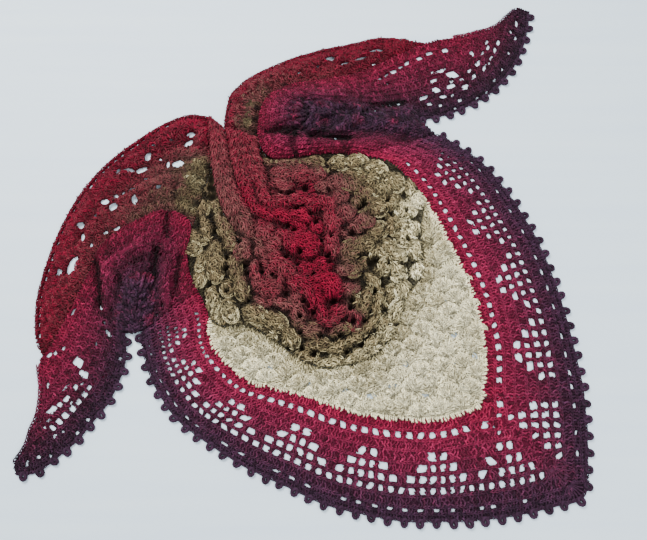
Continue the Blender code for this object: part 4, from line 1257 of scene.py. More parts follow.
def work_picot(stitches, foot, way):
    """A ring of chain on the edge, over a foot of six short posts."""
    out = np.array([way[1], -way[0]])

    def near_foot(u, v, z):
        return np.array([*(foot + way * u + out * v), z])

    light = dice.uniform(0.65, 1.2)
    top = near_foot(dice.normal(0, 0.5), dice.uniform(2.1, 2.9), 2.1)
    turned = dice.normal(0, 0.35)
    reach = np.array([*(way * math.cos(turned) + out * math.sin(turned)), 0.0]) * dice.uniform(3.9, 4.5)
    stitches.add(PICOT, top - reach, top + reach, 7.9, 8.4, 1.0, light, dice.normal(0, 0.15), 1.0)
    for u, tip in PICOT_FOOT:
        stitches.add(POST, near_foot(u, -1.6, 1.5), near_foot(tip, 1.6, 2.2), 3.0, 2.8, 0.99,
                     dice.uniform(0.75, 1.25), dice.uniform(0, 6), 1.0)


def work_edge(stitches, lace, first, last):
    """The last chain of the border and its picots."""
    cells = np.arange(first, last + 0.01, 0.5)
    x, y = lace.place(cells, 1.0)
    along = np.concatenate([[0], np.cumsum(np.hypot(np.diff(x), np.diff(y)))])
    chain = np.interp(np.arange(CHAIN_PITCH / 2, along[-1], CHAIN_PITCH), along, cells)
    half = 0.17
    start, end = lace.spot(chain - half, 0.994, -0.6), lace.spot(chain + half, 0.994, -0.6)
    light = dice.normal(1.0, 0.15, len(chain)).clip(0.6, 1.4)
    stitches.add(LINK, start, end, 3.4, 2.6, 0.98, light, 0.0, 1.1)
    count = max(1, int(round(along[-1] / PICOT_PITCH)))
    for s in (np.arange(count) + 0.5) * along[-1] / count:
        foot, ahead, behind = (
            np.array([np.interp(at, along, v) for v in (x, y)]) for at in (s, s + 4.2, s - 4.2)
        )
        work_picot(stitches, foot, (ahead - behind) / np.linalg.norm(ahead - behind))


def neck_chain(stitches, lace, first, last):
    """The chain along the neck edge, on which the border's rows end."""
    cells = np.arange(first, last, 0.2)
    cells = cells[lace.starts(cells) > 0.002]
    shares = lace.starts(cells) + 0.012
    x, y = lace.place(cells, shares)
    along = np.concatenate([[0], np.cumsum(np.hypot(np.diff(x), np.diff(y)))])
    at = np.arange(0, along[-1], 4.0)
    cells, shares = np.interp(at, along, cells), np.interp(at, along, shares)
    for inward, thick in ((-0.022, 3.4), (0.05, 2.8)):
        chain = lace.spot(cells, shares + inward, 0.3)
        stitches.add(LINK, chain[:-1], chain[1:], thick, 2.6, shares[:-1] + 0.08,
                     dice.normal(0.7, 0.15, len(chain) - 1).clip(0.4, 1.2), 0.0, 1.2)


def shut_openings(first, last, squares):
    """Openings that the gathers hold shut, so that only a dark gap shows."""
    found = []
    for low, high in zip(ROWS[1:7], ROWS[2:8]):
        for cell in np.arange(first + 0.6, last - 0.4, 1.25):
            cell = cell + dice.normal(0, 0.2)
            taken = any(abs(cell - s[0]) < 0.9 and s[2] < high and s[3] > low for s in squares)
            if not taken and dice.random() < 0.36:
                found.append((cell, dice.uniform(0.16, 0.3), low + 0.02, high - 0.01))
    return found


print("border rows at shares", ROWS)

# %% [markdown]
# ### The flat stretches of the border
#
# The left side, the front, the corner and the right side lie flat, so their sheets are cut with the
# openings and their stitches follow the rows. At the corner two straight stretches meet on the line
# of the point, where the real border has an extra fan.

# %% Flat border: left side, front and right side
def row_line(lace, first, last, share=None):
    """A row of the border, or without a share the line on which its rows begin."""
    cells = np.linspace(first, last, max(2, int(abs(last - first) / 0.5) + 1))
    return pairs(*lace.place(cells, lace.starts(cells) if share is None else share))


def seam_line(lace, first, last):
    """The line on which the border's rows begin, where it meets the body."""
    return row_line(lace, first, last)


def border_map(lace, first, last):
    """Turns places back into cells and shares, by the nearest place of a fine table."""
    cells = np.linspace(first, last, max(8, int(abs(last - first) * 3)))
    shares = np.linspace(0, 1, 31)
    cell, share = np.meshgrid(cells, shares, indexing="ij")
    known_x, known_y = (v.ravel() for v in lace.place(cell, share))

    def find(x, y):
        found = nearest_of(known_x, known_y, x, y)
        return cell.ravel()[found], share.ravel()[found]

    return find


def cut_openings(lace, first, last, squares, outline):
    """The squares of a stretch whose openings fit inside its outline, and those openings."""
    loop = tidy_loop(outline)
    kept, rings, middles = [], [], []
    for square in squares:
        if not first - 1 < square[0] < last + 1:
            continue
        whole_x, whole_y = np.array(opening(lace, *square)).T
        middle = (whole_x.mean(), whole_y.mean())
        near = [other for other, at in zip(rings, middles) if math.dist(at, middle) < 22]
        for shrink in (1.0, 0.82, 0.66, 0.52):
            x, y = middle[0] + (whole_x - middle[0]) * shrink, middle[1] + (whole_y - middle[1]) * shrink
            if fits(x, y, loop, near):
                kept.append((square[0], square[1] * shrink, *square[2:]))
                rings.append(pairs(x, y))
                middles.append(middle)
                break
    return kept, rings


def border_sheet(name, lace, first, last, nodes, rings, outline, spacing=6.0):
    """The sheet under a stretch of the border, painted dark as the shade under its stitches."""
    find = border_map(lace, first - 2, last + 2)
    return under_sheet(name, outline, lambda x, y: lace.height(*find(x, y)) - SHEET_DEPTH,
                       lambda x, y: find(x, y)[1], border_shaded_depths, nodes, "with open squares", rings, spacing,
                       light=lambda x, y: lace.light(*find(x, y)))


def border_piece(name, lace, first, last, nodes, squares, held="laid", bright=1.0):
    """A stretch of the border. Where it is gathered, its edging lies bunched apart from it."""
    laid, gathered = held == "laid", held == "gathered"
    start = first - 0.12 if laid else first
    outline = seam_line(lace, start, last) + row_line(lace, last, start, EDGING_FROM if gathered else 1.0)
    near, rings = cut_openings(lace, first, last, squares, outline)
    if not laid:
        apart = [r for r in TURN_RINGS if all(distance_to(o, *np.array(r).T).min() > 1 for o in rings)]
        rings += clear_rings(apart, outline)
    sheet = border_sheet(name, lace, first, last, nodes, rings, outline, 6.0 if laid else 5.0)
    stitches = Stitches()
    closed = shut_openings(first, last, near) if gathered else []
    rows = LACE_ROWS if gathered else None
    work_rows(stitches, lace, first, last, [*near, *closed], rows=rows, bright=bright)
    stitches.clear(rings)
    if not gathered:
        work_edge(stitches, lace, first, last)
    if held == "folded":
        neck_chain(stitches, lace, first, last)
    declare(sheet, stitches.piece(name + "_stitches", border_yarn))


border_piece("border_left_side", left, -41, -21, ["lace_left_side", "edging_left_side"], left_squares)
border_piece("border_front", left, -21, 4, ["lace_front", "edging_front"], left_squares)
border_piece("border_right", right, 19.5, 52, ["lace_right", "edging_right"], right_squares)

# %% [markdown]
# ### The corner
#
# At the point of the scarf the rows of both sides meet on one line. The stitches of each side are
# worked up to that line, and the openings keep clear of it.

# %% Corner of the border
def side_of_corner(lace, side):
    """Tells which cells of a row lie beyond the corner's middle line, seen from one side."""
    inner, outer = corner_line()

    def beyond(cells, share):
        x, y = lace.place(cells, share)
        off = (outer[0] - inner[0]) * (y - inner[1]) - (outer[1] - inner[1]) * (x - inner[0])
        return off * side < 1.2 * math.dist(inner, outer)

    return beyond


corner_left = corner_squares(left, CORNER_MESH_LEFT, -1)
corner_right = corner_squares(right, CORNER_MESH_RIGHT, 1)
corner_extra = [oval(*row) for row in CORNER_HOLES]
corner_outline = seam_line(corner, 4, 19.5) + row_line(corner, 19.5, 4, 1.0)
corner_left, left_rings = cut_openings(
    left, 4, 13.5, [*corner_left, *slits(SLITS_CORNER[0])], corner_outline
)
corner_right, right_rings = cut_openings(
    right, 11, 19.5, [*corner_right, *slits(SLITS_CORNER[1])], corner_outline
)
corner_sheet = border_sheet("border_corner", corner, 4, 19.5, ["lace_corner", "edging_corner"],
                            clear_rings(left_rings + right_rings + corner_extra, corner_outline),
                            outline=corner_outline)
stitches = Stitches()
work_rows(stitches, left, 4, 13.5, corner_left, side_of_corner(left, -1))
work_rows(stitches, right, 11, 19.5, corner_right, side_of_corner(right, 1))
for share, count, reach in ((0.86, 11, 0.13), (0.70, 9, 0.15)):
    foot, tip = (np.array([float(v) for v in corner.place(CORNER_CELL, s)]) for s in (share, share + reach))
    span = math.dist(foot, tip)
    for spread in np.linspace(-1.25, 1.25, count):
        angle = math.atan2(tip[1] - foot[1], tip[0] - foot[0]) + spread
        way = np.array([math.cos(angle), math.sin(angle)])
        reached = span * (1 - 0.18 * abs(spread))
        start, end = [*(foot + way * span * 0.15), CLOTH - 0.6], [*(foot + way * reached), CLOTH - 0.4]
        stitches.add(POST, start, end, 2.6, 2.2, share + reach / 2,
                     dice.uniform(0.8, 1.25), dice.uniform(0, 6), 1.0)
stitches.clear(left_rings + right_rings + corner_extra)
work_edge(stitches, corner, 4, 19.5)
declare(corner_sheet, stitches.piece("border_corner_stitches", border_yarn))

# %% [markdown]
# ### The two turns, and the wings' lace
#
# Where a wing turns back, the lace is gathered over a narrow turn: it stands in a high arch with
# pleats, and its edging lies bunched inside the turn. The same rows run over it, only closer.

# %% Gathered lace and the wings' tips
RELIEF_REACH = 6.0


def relief(height, x, y):
    """Light on a folded surface: ridges stand in it, and the folds between them lie in the shade."""
    around = [
        height(x + RELIEF_REACH * math.cos(t), y + RELIEF_REACH * math.sin(t))
        for t in np.arange(6) * math.pi / 3
    ]
    return np.clip(1 + 0.13 * (height(x, y) - sum(around) / 6), 0.35, 1.3)


def turn_mound(lace, first, last):
    """The bunched edging of a turn stands a little higher than the lace round it."""
    outline = tidy_loop(row_line(lace, first, last, EDGING_FROM)
                        + [tuple(float(v) for v in lace.place(c, 1.0)) for c in (last, first)])

    def mound(x, y):
        deep = 1 - np.exp(-distance_to(outline, x, y) / 7)
        return 3.0 * np.where(inside(outline, x, y), deep, 0.0)

    return outline, mound


def strands_on(surface, x, y, turn, half, over):
    """The two ends of short strands that lie on a surface over their middles."""
    step_x, step_y = np.cos(turn) * half, np.sin(turn) * half
    ends = [(x - step_x, y - step_y), (x + step_x, y + step_y)]
    return [np.column_stack([*end, surface(*end) + over]) for end in ends]


def bunched_edging(name, lace, first, last, node, crimson):
    """The edging inside a turn: its layers lie on each other, so they share one mound."""
    outline, mound = turn_mound(lace, first, last)
    find = border_map(lace, first, last)

    def top(x, y):
        return lace.height(*find(x, y)) - 1.3 + mound(x, y)

    rings = clear_rings(TURN_RINGS, outline)
    sheet = under_sheet(name, outline, top, lambda x, y: find(x, y)[1], border_shaded_depths,
                        [node], "as one bunch", rings, 4.0)
    stitches = Stitches()
    x, y = grid_in(outline, 3.3, 3.0, 0.6, 0.3)
    cell, share = find(x, y)
    turn = dice.normal(0, 0.35, len(x)) + np.where(dice.random(len(x)) < 0.5, 0.5, -0.3)
    ahead_x, ahead_y = lace.place(cell, np.minimum(share + 0.1, 1.15))
    behind_x, behind_y = lace.place(cell, share - 0.1)
    start, end = strands_on(top, x, y, np.arctan2(ahead_y - behind_y, ahead_x - behind_x) + turn, 2.6, 0.9)
    inner = np.clip(((x - crimson[0]) * crimson[2] + (y - crimson[1]) * crimson[3]) / 22, 0, 1)
    # Painted shade: the bunch's light is low, follows the relief of its folds, and is dimmer on its crimson
    # side.
    light = dice.normal(0.62, 0.28, len(x)).clip(0.3, 1.6) * relief(top, x, y) ** 1.3 * (1 - 0.3 * inner)
    patches = np.clip(np.sin(x / 7 + 2 * np.sin(y / 9)) * np.sin(y / 8 + 1) * 1.4 - 0.35, 0, 1)
    tone = share * 0.35 + 0.58 - 0.3 * patches - 0.5 * inner + dice.normal(0, 0.06, len(x))
    stitches.add(CURL, start, end, 3.6, 3.0, tone, light, dice.normal(0, 0.3, len(x)), 1.15)
    stitches.clear(rings)
    declare(sheet, stitches.piece(name + "_stitches", border_yarn))


# The last number is the stitches' light: painted shade for the folded wings and the gathered turns.
border_piece("border_left_wing", left, -89.5, -72, ["lace_left_wing", "edging_left_wing"], left_squares,
             "folded", 0.68)
border_piece("border_left_turn", left, -72, -41, ["lace_left_turn"], left_squares, "gathered", 0.48)
bunched_edging("bunch_left_turn", left, -72, -41, "edging_left_turn", (-201, -58, 0, 1))
border_piece("border_right_side", right, 52, 62, ["lace_right_side"], right_squares, "gathered", 0.43)
border_piece("border_right_turn", right, 62, 83, ["lace_right_turn"], right_squares, "gathered", 0.6)
bunched_edging("bunch_right_turn", right, 52, 94, "edging_right_turn", (2, 164, -1, 0))
border_piece("border_right_wing", right, 83, 115, ["lace_right_wing", "edging_right_wing"], right_squares,
             "folded", 0.57)

# %% [markdown]
# ## The body: wings, strands, heap and flat fans
#
# The body is worked in small fans. On the wings and over the point of the scarf they lie flat in
# staggered rows; in the middle the scarf is pushed together, and each fan puffs up. The same basket
# of stitches serves for all of them: what changes is how the posts are turned.

# %% Tables of the body
NECK_LEFT = (
    (-311, -117), (-314, -91), (-314, -65), (-309, -35), (-302, -4), (-291, 28), (-274, 64),
    (-247, 100), (-211, 132), (-172, 158), (-147, 167), (-122, 164),
)
NECK_RIGHT = (
    (128, 278), (99, 280), (62, 271), (22, 262), (-17, 249), (-51, 233), (-76, 217), (-94, 198),
    (-101, 172), (-102, 147),
)
CREASE = ((-102, 147), (-96, 125), (-92, 103), (-87, 82), (-79, 61), (-67, 40))
LEFT_STRAND_TAIL = ((-67, 40), (-61, 21), (-58, 1), (-58, -28))
LEFT_STRAND_OUTER = ((-122, 164), (-120, 130), (-116, 98), (-109, 65), (-99, 35), (-81, 4), (-72, -30))
RIGHT_STRAND_TAIL = ((-67, 40), (-52, 30), (-35, 20))
RIGHT_STRAND_OUTER = ((-58, 132), (-55, 110), (-48, 89), (-40, 68), (-30, 52), (-16, 38))
DIVIDE = (
    (-94, -105), (-67, -104), (-38, -118), (-15, -135), (14, -151), (49, -151), (80, -140),
    (101, -119), (116, -89), (123, -65), (138, -50), (144, -20), (142, 12), (146, 35),
)
WING_FOLDS = (
    (-296, -72, -291, -22, 11, 3.5),
    (-283, 8, -262, 50, 12, 5.0),
    (-246, 74, -206, 108, 13, 5.5),
    (-190, 124, -152, 148, 13, 6.0),
    (-262, 22, -232, 50, 9, 4.0),
    (-208, 62, -166, 76, 13, 8.0),
    (-146, 66, -134, 98, 12, 11.0),
    (-138, 112, -128, 142, 10, 6.5),
    (-86, 190, -90, 156, 10, 9.0),
    (-70, 206, -30, 226, 11, 7.5),
    (-10, 234, 40, 248, 11, 5.5),
    (56, 240, 94, 260, 10, 4.0),
    (-68, 176, -68, 150, 7, 5.0),
)
# Columns: middle, length, width and turn in degrees.
WING_OPENINGS = (
    (-144, 139, 12.4, 6.9, 11), (-146, 128, 13.8, 7.6, 28), (-119, 123, 4.7, 6.8, 0),
    (-124, 154, 4.9, 4.6, 0), (-189, 123, 7.6, 3.3, 0), (-196, 109, 12.9, 6.7, 65),
    (-158, 100, 16.4, 10.4, 5), (-171, 99, 4.1, 9.6, 0), (-231, 87, 5.7, 11, 0),
    (-218, 90, 13.1, 4.7, -5), (-203, 91, 16.2, 6.6, 24), (-245, 49, 10.8, 8.6, 0),
    (-234, 42, 13.3, 8, 46), (-232, 56, 6.2, 5.8, 0), (-223, 60, 5.7, 5.5, 0),
    (-212, 64, 12, 4.4, 16), (-209, 51, 7.6, 11.5, 0), (-179, 67, 8.7, 5, 16),
    (-271, 18, 9.7, 8.7, 33), (-268, 4, 4.9, 10.9, -10), (-228, 15, 10.4, 4.9, 33),
    (-241, 10, 6.5, 4.9, 22), (-277, -32, 24.8, 10.3, 71), (-291, -41, 6.7, 11.3, -10),
    (-263, -77, 6.7, 9.1, -20), (-272, -87, 3.9, 5.6, -10), (-197, 79, 5.5, 3.5, 0),
    (-254, 31, 5.3, 3.8, 44), (-257, -6, 4, 6, -10), (-181, 106, 4.1, 3.6, 0),
    (-168, 131, 4.7, 3.1, 22), (33, 247, 12.3, 6.8, 9), (94, 260, 21.9, 4.2, 11),
    (73, 248, 20.5, 3.5, 18), (52, 241, 13.1, 3.5, 13), (90, 241, 5.8, 3.2, 11),
    (61, 224, 7.2, 3.2, 6), (-7, 227, 5.8, 3.2, 22), (17, 236, 5, 3.2, 22),
    (114, 251, 8.8, 3.9, 17), (43, 222, 4.6, 3.2, 0), (-19, 210, 4.4, 3.1, 33),
    (79, 227, 4.9, 3.2, 0),
)
# Columns: middle, half length, half width, turn in degrees, crest, place in the yarn's run.
LUMPS = (
    (-59, 84, 22, 11, -62, 6, 0.17), (-46, 52, 22, 10, -60, 6, 0.16), (-69, 52, 28, 9, -58, 4, 0.05),
    (-75, 79, 18, 7, -62, 4, 0.07), (-26, 84, 17, 12, 4, 7, 0.24), (-27, 68, 15, 9, -11, 7, 0.26),
    (-5, 82, 14, 13, -11, 8, 0.2), (15, 81, 13, 11, -42, 8, 0.22), (27, 65, 9, 15, -85, 7, 0.34),
    (43, 73, 12, 15, -86, 7, 0.3), (45, 52, 10, 11, -62, 6, 0.3), (59, 68, 10, 17, -81, 6, 0.48),
    (75, 58, 12, 13, -86, 6, 0.5), (-25, 45, 13, 10, -21, 8, 0.16), (-6, 49, 13, 9, 9, 8, 0.12),
    (11, 43, 12, 11, -31, 9, 0.12), (27, 43, 11, 12, -61, 9, 0.13), (35, 19, 23, 11, -88, 10, 0.17),
    (33, -11, 16, 10, -76, 8, 0.18), (51, 31, 11, 13, -71, 8, 0.3), (63, 14, 11, 10, -31, 7, 0.34),
    (75, 20, 11, 12, -81, 9, 0.34), (54, 2, 11, 7, -21, 5, 0.36), (-50, 31, 20, 7, -29, 5, 0.02),
    (-26, 27, 17, 9, -13, 6, 0.02), (-3, 27, 17, 9, -15, 8, 0.02), (15, 14, 12, 8, -61, 4, 0.06),
    (-47, 7, 15, 11, -60, 8, 0.2), (-37, -10, 12, 10, -31, 7, 0.26), (-49, -21, 10, 8, -21, 6, 0.3),
    (-69, 17, 20, 10, -71, 7, 0.3), (-72, -16, 16, 11, -86, 8, 0.32), (-56, -3, 15, 5, -69, 5, 0.36),
    (-21, -3, 15, 11, -41, 8, 0.15), (1, -10, 22, 17, -21, 12, 0.02),
    (-31, -31, 15, 12, -20, 10, 0.16), (-19, -41, 11, 11, -60, 10, 0.2), (-55, -48, 19, 7, -79, 9, 0.2),
    (-41, -64, 16, 12, -15, 10, 0.21), (-44, -31, 9, 7, -10, 8, 0.22), (-28, -56, 11, 7, -79, 8, 0.22),
    (-47, -79, 12, 6, -20, 6, 0.24), (25, -58, 21, 15, -10, 13, 0.01), (35, -64, 13, 13, -71, 12, 0.02),
    (-3, -58, 17, 11, -30, 10, 0.12), (12, -74, 15, 12, -60, 10, 0.09), (21, -90, 12, 9, -80, 9, 0.08),
    (30, -101, 14, 7, 8, 9, 0.14), (40, -91, 10, 8, 10, 9, 0.12), (51, -87, 6, 10, -81, 8, 0.22),
    (53, -64, 8, 15, -81, 7, 0.34), (48, -41, 7, 9, -71, 6, 0.36), (-25, -81, 20, 6, -16, 7, 0.28),
    (-7, -91, 12, 9, -50, 7, 0.31), (10, -112, 15, 10, -4, 7, 0.4), (-4, -105, 8, 6, -30, 5, 0.42),
    (-95, 14, 21, 10, -65, 9, 0.55), (-86, -7, 11, 11, -59, 9, 0.57), (-104, -31, 27, 12, -84, 10, 0.63),
    (-81, -38, 17, 9, -71, 8, 0.57), (-72, -62, 16, 9, -78, 8, 0.58), (-118, 14, 19, 7, -73, 8, 0.61),
    (-106, -75, 17, 9, -80, 9, 0.7), (-86, -88, 17, 10, -59, 8, 0.72), (-54, -94, 18, 11, -25, 8, 0.64),
    (-31, -102, 16, 11, -30, 8, 0.63), (-14, -120, 14, 10, -59, 8, 0.66), (-46, -118, 18, 10, -20, 6, 0.74),
    (-72, -111, 15, 10, -34, 6, 0.78), (-23, -141, 18, 9, -30, 6, 0.82), (18, -128, 17, 8, 2, 8, 0.6),
    (43, -111, 14, 7, 18, 7, 0.5), (43, -131, 15, 8, 20, 8, 0.66), (61, -119, 16, 7, 32, 8, 0.62),
    (80, -102, 16, 7, 52, 8, 0.64), (31, -148, 19, 8, 4, 7, 0.74), (62, -140, 16, 8, 25, 8, 0.74),
    (81, -124, 16, 7, 38, 8, 0.7), (96, -102, 15, 7, 61, 8, 0.7), (73, -80, 19, 7, 77, 8, 0.6),
    (88, -76, 18, 7, 79, 8, 0.66), (55, -18, 16, 12, 51, 9, 0.5), (58, -40, 11, 11, -61, 7, 0.5),
    (72, -10, 15, 10, 41, 9, 0.6), (89, 7, 15, 11, 46, 9, 0.64), (106, 17, 16, 8, -87, 8, 0.6),
    (74, -31, 11, 6, 21, 4, 0.56), (81, -54, 13, 8, -62, 8, 0.66), (95, -37, 15, 8, 60, 9, 0.72),
    (101, -11, 12, 10, -62, 9, 0.68), (112, -21, 12, 11, -21, 9, 0.76), (120, -1, 11, 12, -82, 8, 0.76),
    (89, 38, 13, 13, -21, 9, 0.62), (106, 47, 11, 15, -77, 9, 0.66), (94, 63, 12, 13, -82, 8, 0.72),
    (79, 79, 16, 11, -11, 7, 0.64), (44, 98, 15, 11, 0, 8, 0.68), (65, 100, 16, 11, -4, 8, 0.68),
    (89, 90, 16, 12, -27, 9, 0.72), (110, 73, 16, 13, -53, 9, 0.7), (60, 84, 15, 8, 0, 5, 0.6),
    (-48, 100, 15, 5, 0, 5, 0.52), (-20, 98, 16, 7, -2, 5, 0.54), (10, 100, 15, 8, -2, 6, 0.56),
    (20, 89, 11, 7, -21, 5, 0.52), (124, 38, 13, 15, -82, 9, 0.84), (118, 19, 11, 11, 0, 8, 0.82),
    (139, 50, 12, 13, -63, 7, 0.92), (131, 12, 12, 11, -83, 8, 0.86), (133, -13, 14, 11, -63, 8, 0.8),
    (112, -43, 13, 11, -72, 8, 0.78), (118, -64, 13, 11, -82, 8, 0.82), (110, -88, 14, 10, 69, 8, 0.82),
    (100, -117, 15, 10, 59, 8, 0.84), (84, -140, 16, 9, 39, 7, 0.84), (60, -159, 16, 9, 20, 6, 0.88),
    (26, -165, 18, 9, 0, 6, 0.88), (-5, -159, 16, 9, -20, 6, 0.88), (-46, -143, 16, 10, -25, 5, 0.88),
    (138, -40, 12, 11, -73, 6, 0.9), (134, -76, 12, 11, -82, 6, 0.92),
)
HEAP_MIDDLE = (0.0, -20.0)
HEAP_HALF_X = 140.0
HEAP_HALF_Y = 135.0
HEAP_RISE = 13.0
STRAND_EDGE = 7.0
STRAND_CREST = 15.0
FAN_WIDTH = 25.0
FAN_ROW = 15.0
FAN_RISE = 2.0
FAN_LEAN = math.radians(12)
print(len(LUMPS), "lumps,", len(WING_FOLDS), "wing folds,", len(WING_OPENINGS), "openings")

# %% [markdown]
# ### Outlines of the body
#
# Neighbouring pieces share one line, given the same way in both outlines, so that they meet
# without a gap. The lines that the border shares are its own first row.

# %% Outlines of the body pieces
neck_left = smooth_line(NECK_LEFT, 9)
neck_right = smooth_line(NECK_RIGHT, 9)
crease = smooth_line(CREASE, 12)
left_tail = smooth_line(LEFT_STRAND_TAIL, 12)
right_tail = smooth_line(RIGHT_STRAND_TAIL, 12)
left_outer = smooth_line(LEFT_STRAND_OUTER[2:], 12)
left_by_wing = list(LEFT_STRAND_OUTER[:2])
right_outer = smooth_line(RIGHT_STRAND_OUTER, 12)
left_end = tuple(float(v) for v in left.place(-36, 0))
right_end = tuple(float(v) for v in right.place(43, 0))
divide = smooth_line((left_end, *DIVIDE, right_end), 11)
OUTLINES = {
    "wing_left": [*seam_line(left, -78, -48), left_outer[0], *left_by_wing[::-1][:-1], *neck_left[::-1]],
    "wing_right": [*seam_line(right, 71, 99), *neck_right],
    "strand_left": [*left_by_wing, *left_outer, *left_tail[::-1], *crease[::-1]],
    "strand_right": [*crease, *right_tail, *right_outer[::-1]],
    "heap": [
        left_outer[0], *seam_line(left, -48, -36), *divide, *seam_line(right, 43, 71),
        *right_outer, *right_tail[::-1], *left_tail, *left_outer[::-1],
    ],
    "fans": [*seam_line(left, -36, 4), *seam_line(corner, 4, 19.5), *seam_line(right, 19.5, 43),
             *divide[::-1]],
}
for name, loop in OUTLINES.items():
    print(name, "covers", round(abs(area(tidy_loop(loop))) / 100), "cm2")

# %% [markdown]
# ### Flat fans
#
# One fan is five or six posts from a single place, with the links of its edge round them. The fans
# of a row stand in the gaps of the row before. A helper works one fan from any foot and in any
# direction, so that the wings' rows can follow the curve of the neck edge.

# %% Working fans
STRAND_THICK = 1.8


def work_fan(stitches, foot, turn, reach, spread, height, tone, posts, light):
    """One fan's main strands from its foot, and its scalloped edge of links."""
    angles = turn + np.linspace(-spread, spread, posts) + dice.normal(0, 0.05, posts)
    size = reach * (1 - 0.10 * np.abs(np.linspace(-1, 1, posts)) ** 2) * dice.normal(1, 0.05, posts)
    near_x, near_y = foot[0] + np.cos(angles) * reach * 0.16, foot[1] + np.sin(angles) * reach * 0.16
    far_x, far_y = foot[0] + np.cos(angles) * size, foot[1] + np.sin(angles) * size
    start = np.column_stack([near_x, near_y, height(near_x, near_y) - 1.1])
    end = np.column_stack([far_x, far_y, height(far_x, far_y) - 0.9])
    braid(stitches, start, end, dice.normal(POST_THICK, 0.2, posts), tone + dice.normal(0, 0.03, posts),
          light * dice.normal(0.98, 0.14, posts).clip(0.5, 1.4), 0.4)
    links = posts + 1
    edge = turn + np.linspace(-spread * 1.12, spread * 1.12, links + 1)
    out = reach * (1.06 - 0.10 * np.abs(np.linspace(-1, 1, links + 1)) ** 2)
    x, y = foot[0] + np.cos(edge) * out, foot[1] + np.sin(edge) * out
    z = height(x, y) - 0.3 + dice.normal(0, 0.2, links + 1)
    places = np.column_stack([x, y, z])
    # Painted highlight: the links of the rim get more light than the posts.
    stitches.add(LINK, places[:-1], places[1:], 3.3, 2.5, tone + dice.normal(0.01, 0.04, links),
                 light * dice.normal(1.16, 0.16, links).clip(0.6, 1.6), 0.0, 1.25)


def cover(stitches, loop, height, field, spacing=2.8, margin=0.6, keep=None):
    """Short strands all over a surface. The field gives their turn, tone and light."""
    x, y = grid_in(loop, spacing, spacing * 0.92, margin, 0.37)
    x, y = x + dice.normal(0, 0.55, len(x)), y + dice.normal(0, 0.55, len(x))
    if keep is not None:
        kept = keep(x, y)
        x, y = x[kept], y[kept]
    turn, tone, light = field(x, y)
    start, end = strands_on(height, x, y, turn + dice.normal(0, 0.42, len(x)), 2.3, -0.5)
    lift = dice.normal(0, 0.3, len(x))
    start[:, 2] += lift
    end[:, 2] += lift
    light = light * dice.normal(1.0, 0.27, len(x)).clip(0.35, 1.75)
    stitches.add(CURL, start, end, dice.normal(STRAND_THICK, 0.15, len(x)), STRAND_THICK * 0.9,
                 tone + dice.normal(0, 0.035, len(x)), light, dice.normal(0, 0.35, len(x)), 1.0)


def fan_field(feet, reach, tone):
    """Strands point away from their fan's foot; painted light dims them there and brightens its edge."""
    feet = np.array(feet)
    middle_x = feet[:, 0] + np.cos(feet[:, 2]) * reach * 0.5
    middle_y = feet[:, 1] + np.sin(feet[:, 2]) * reach * 0.5

    def field(x, y):
        nearest = nearest_of(middle_x, middle_y, x, y)
        to_x, to_y = x - feet[nearest, 0], y - feet[nearest, 1]
        far = np.clip(np.hypot(to_x, to_y) / reach, 0, 1.15)
        return np.arctan2(to_y, to_x), tone(x, y), 0.56 + 0.54 * far**1.5

    return field


def flat_fan_height(x, y):
    """The flat fans: low staggered domes, in rows."""
    along = x * math.cos(FAN_LEAN) + y * math.sin(FAN_LEAN)
    across = y * math.cos(FAN_LEAN) - x * math.sin(FAN_LEAN)
    row = np.round(across / FAN_ROW)
    shift = 0.5 * (row % 2)
    column = np.round(along / FAN_WIDTH - shift)
    u = (along / FAN_WIDTH - shift - column) * 2
    v = (across / FAN_ROW - row) * 2
    return CLOTH + FAN_RISE * np.maximum(0.0, 1 - 0.8 * u * u - 0.8 * v * v)


def fans_tone(x, y):
    """Cream, a little browner beside the heap."""
    near = np.exp(-distance_to(divide_line, x, y) / 16)
    drift = 0.05 * np.sin(x / 15 + 1.3 * np.sin(y / 19)) * np.cos(y / 13) - 0.01
    return 0.985 + drift - 0.2 * near


# Columns: middle, length, width and turn in degrees.
THIN_PLACES = (
    (103, -173, 17, 9, 5), (79, -185, 15, 7, 0), (147, -163, 17, 6, 5), (118, -149, 9, 8, 0),
    (155, -113, 10, 6, 0), (177, -116, 14, 7, 10), (170, -149, 17, 7, 0), (140, -184, 10, 6, 0),
    (184, -174, 13, 5, 0), (50, -179, 12, 6, -10), (9, -172, 11, 6, -15), (199, -140, 9, 7, -63),
    (170, -74, 9, 7, 0), (-37, -154, 10, 6, -29), (-3, -187, 10, 5, -10),
)
thin_rings = clear_rings([oval(*row) for row in THIN_PLACES], OUTLINES["fans"], 3.0)


def thinned(x, y):
    """The table shines through the thin places, where only a few strands cross."""
    kept = np.ones(len(x), bool)
    for ring in thin_rings:
        kept &= ~inside(ring, x, y) | (dice.random(len(x)) < 0.14)
    return kept


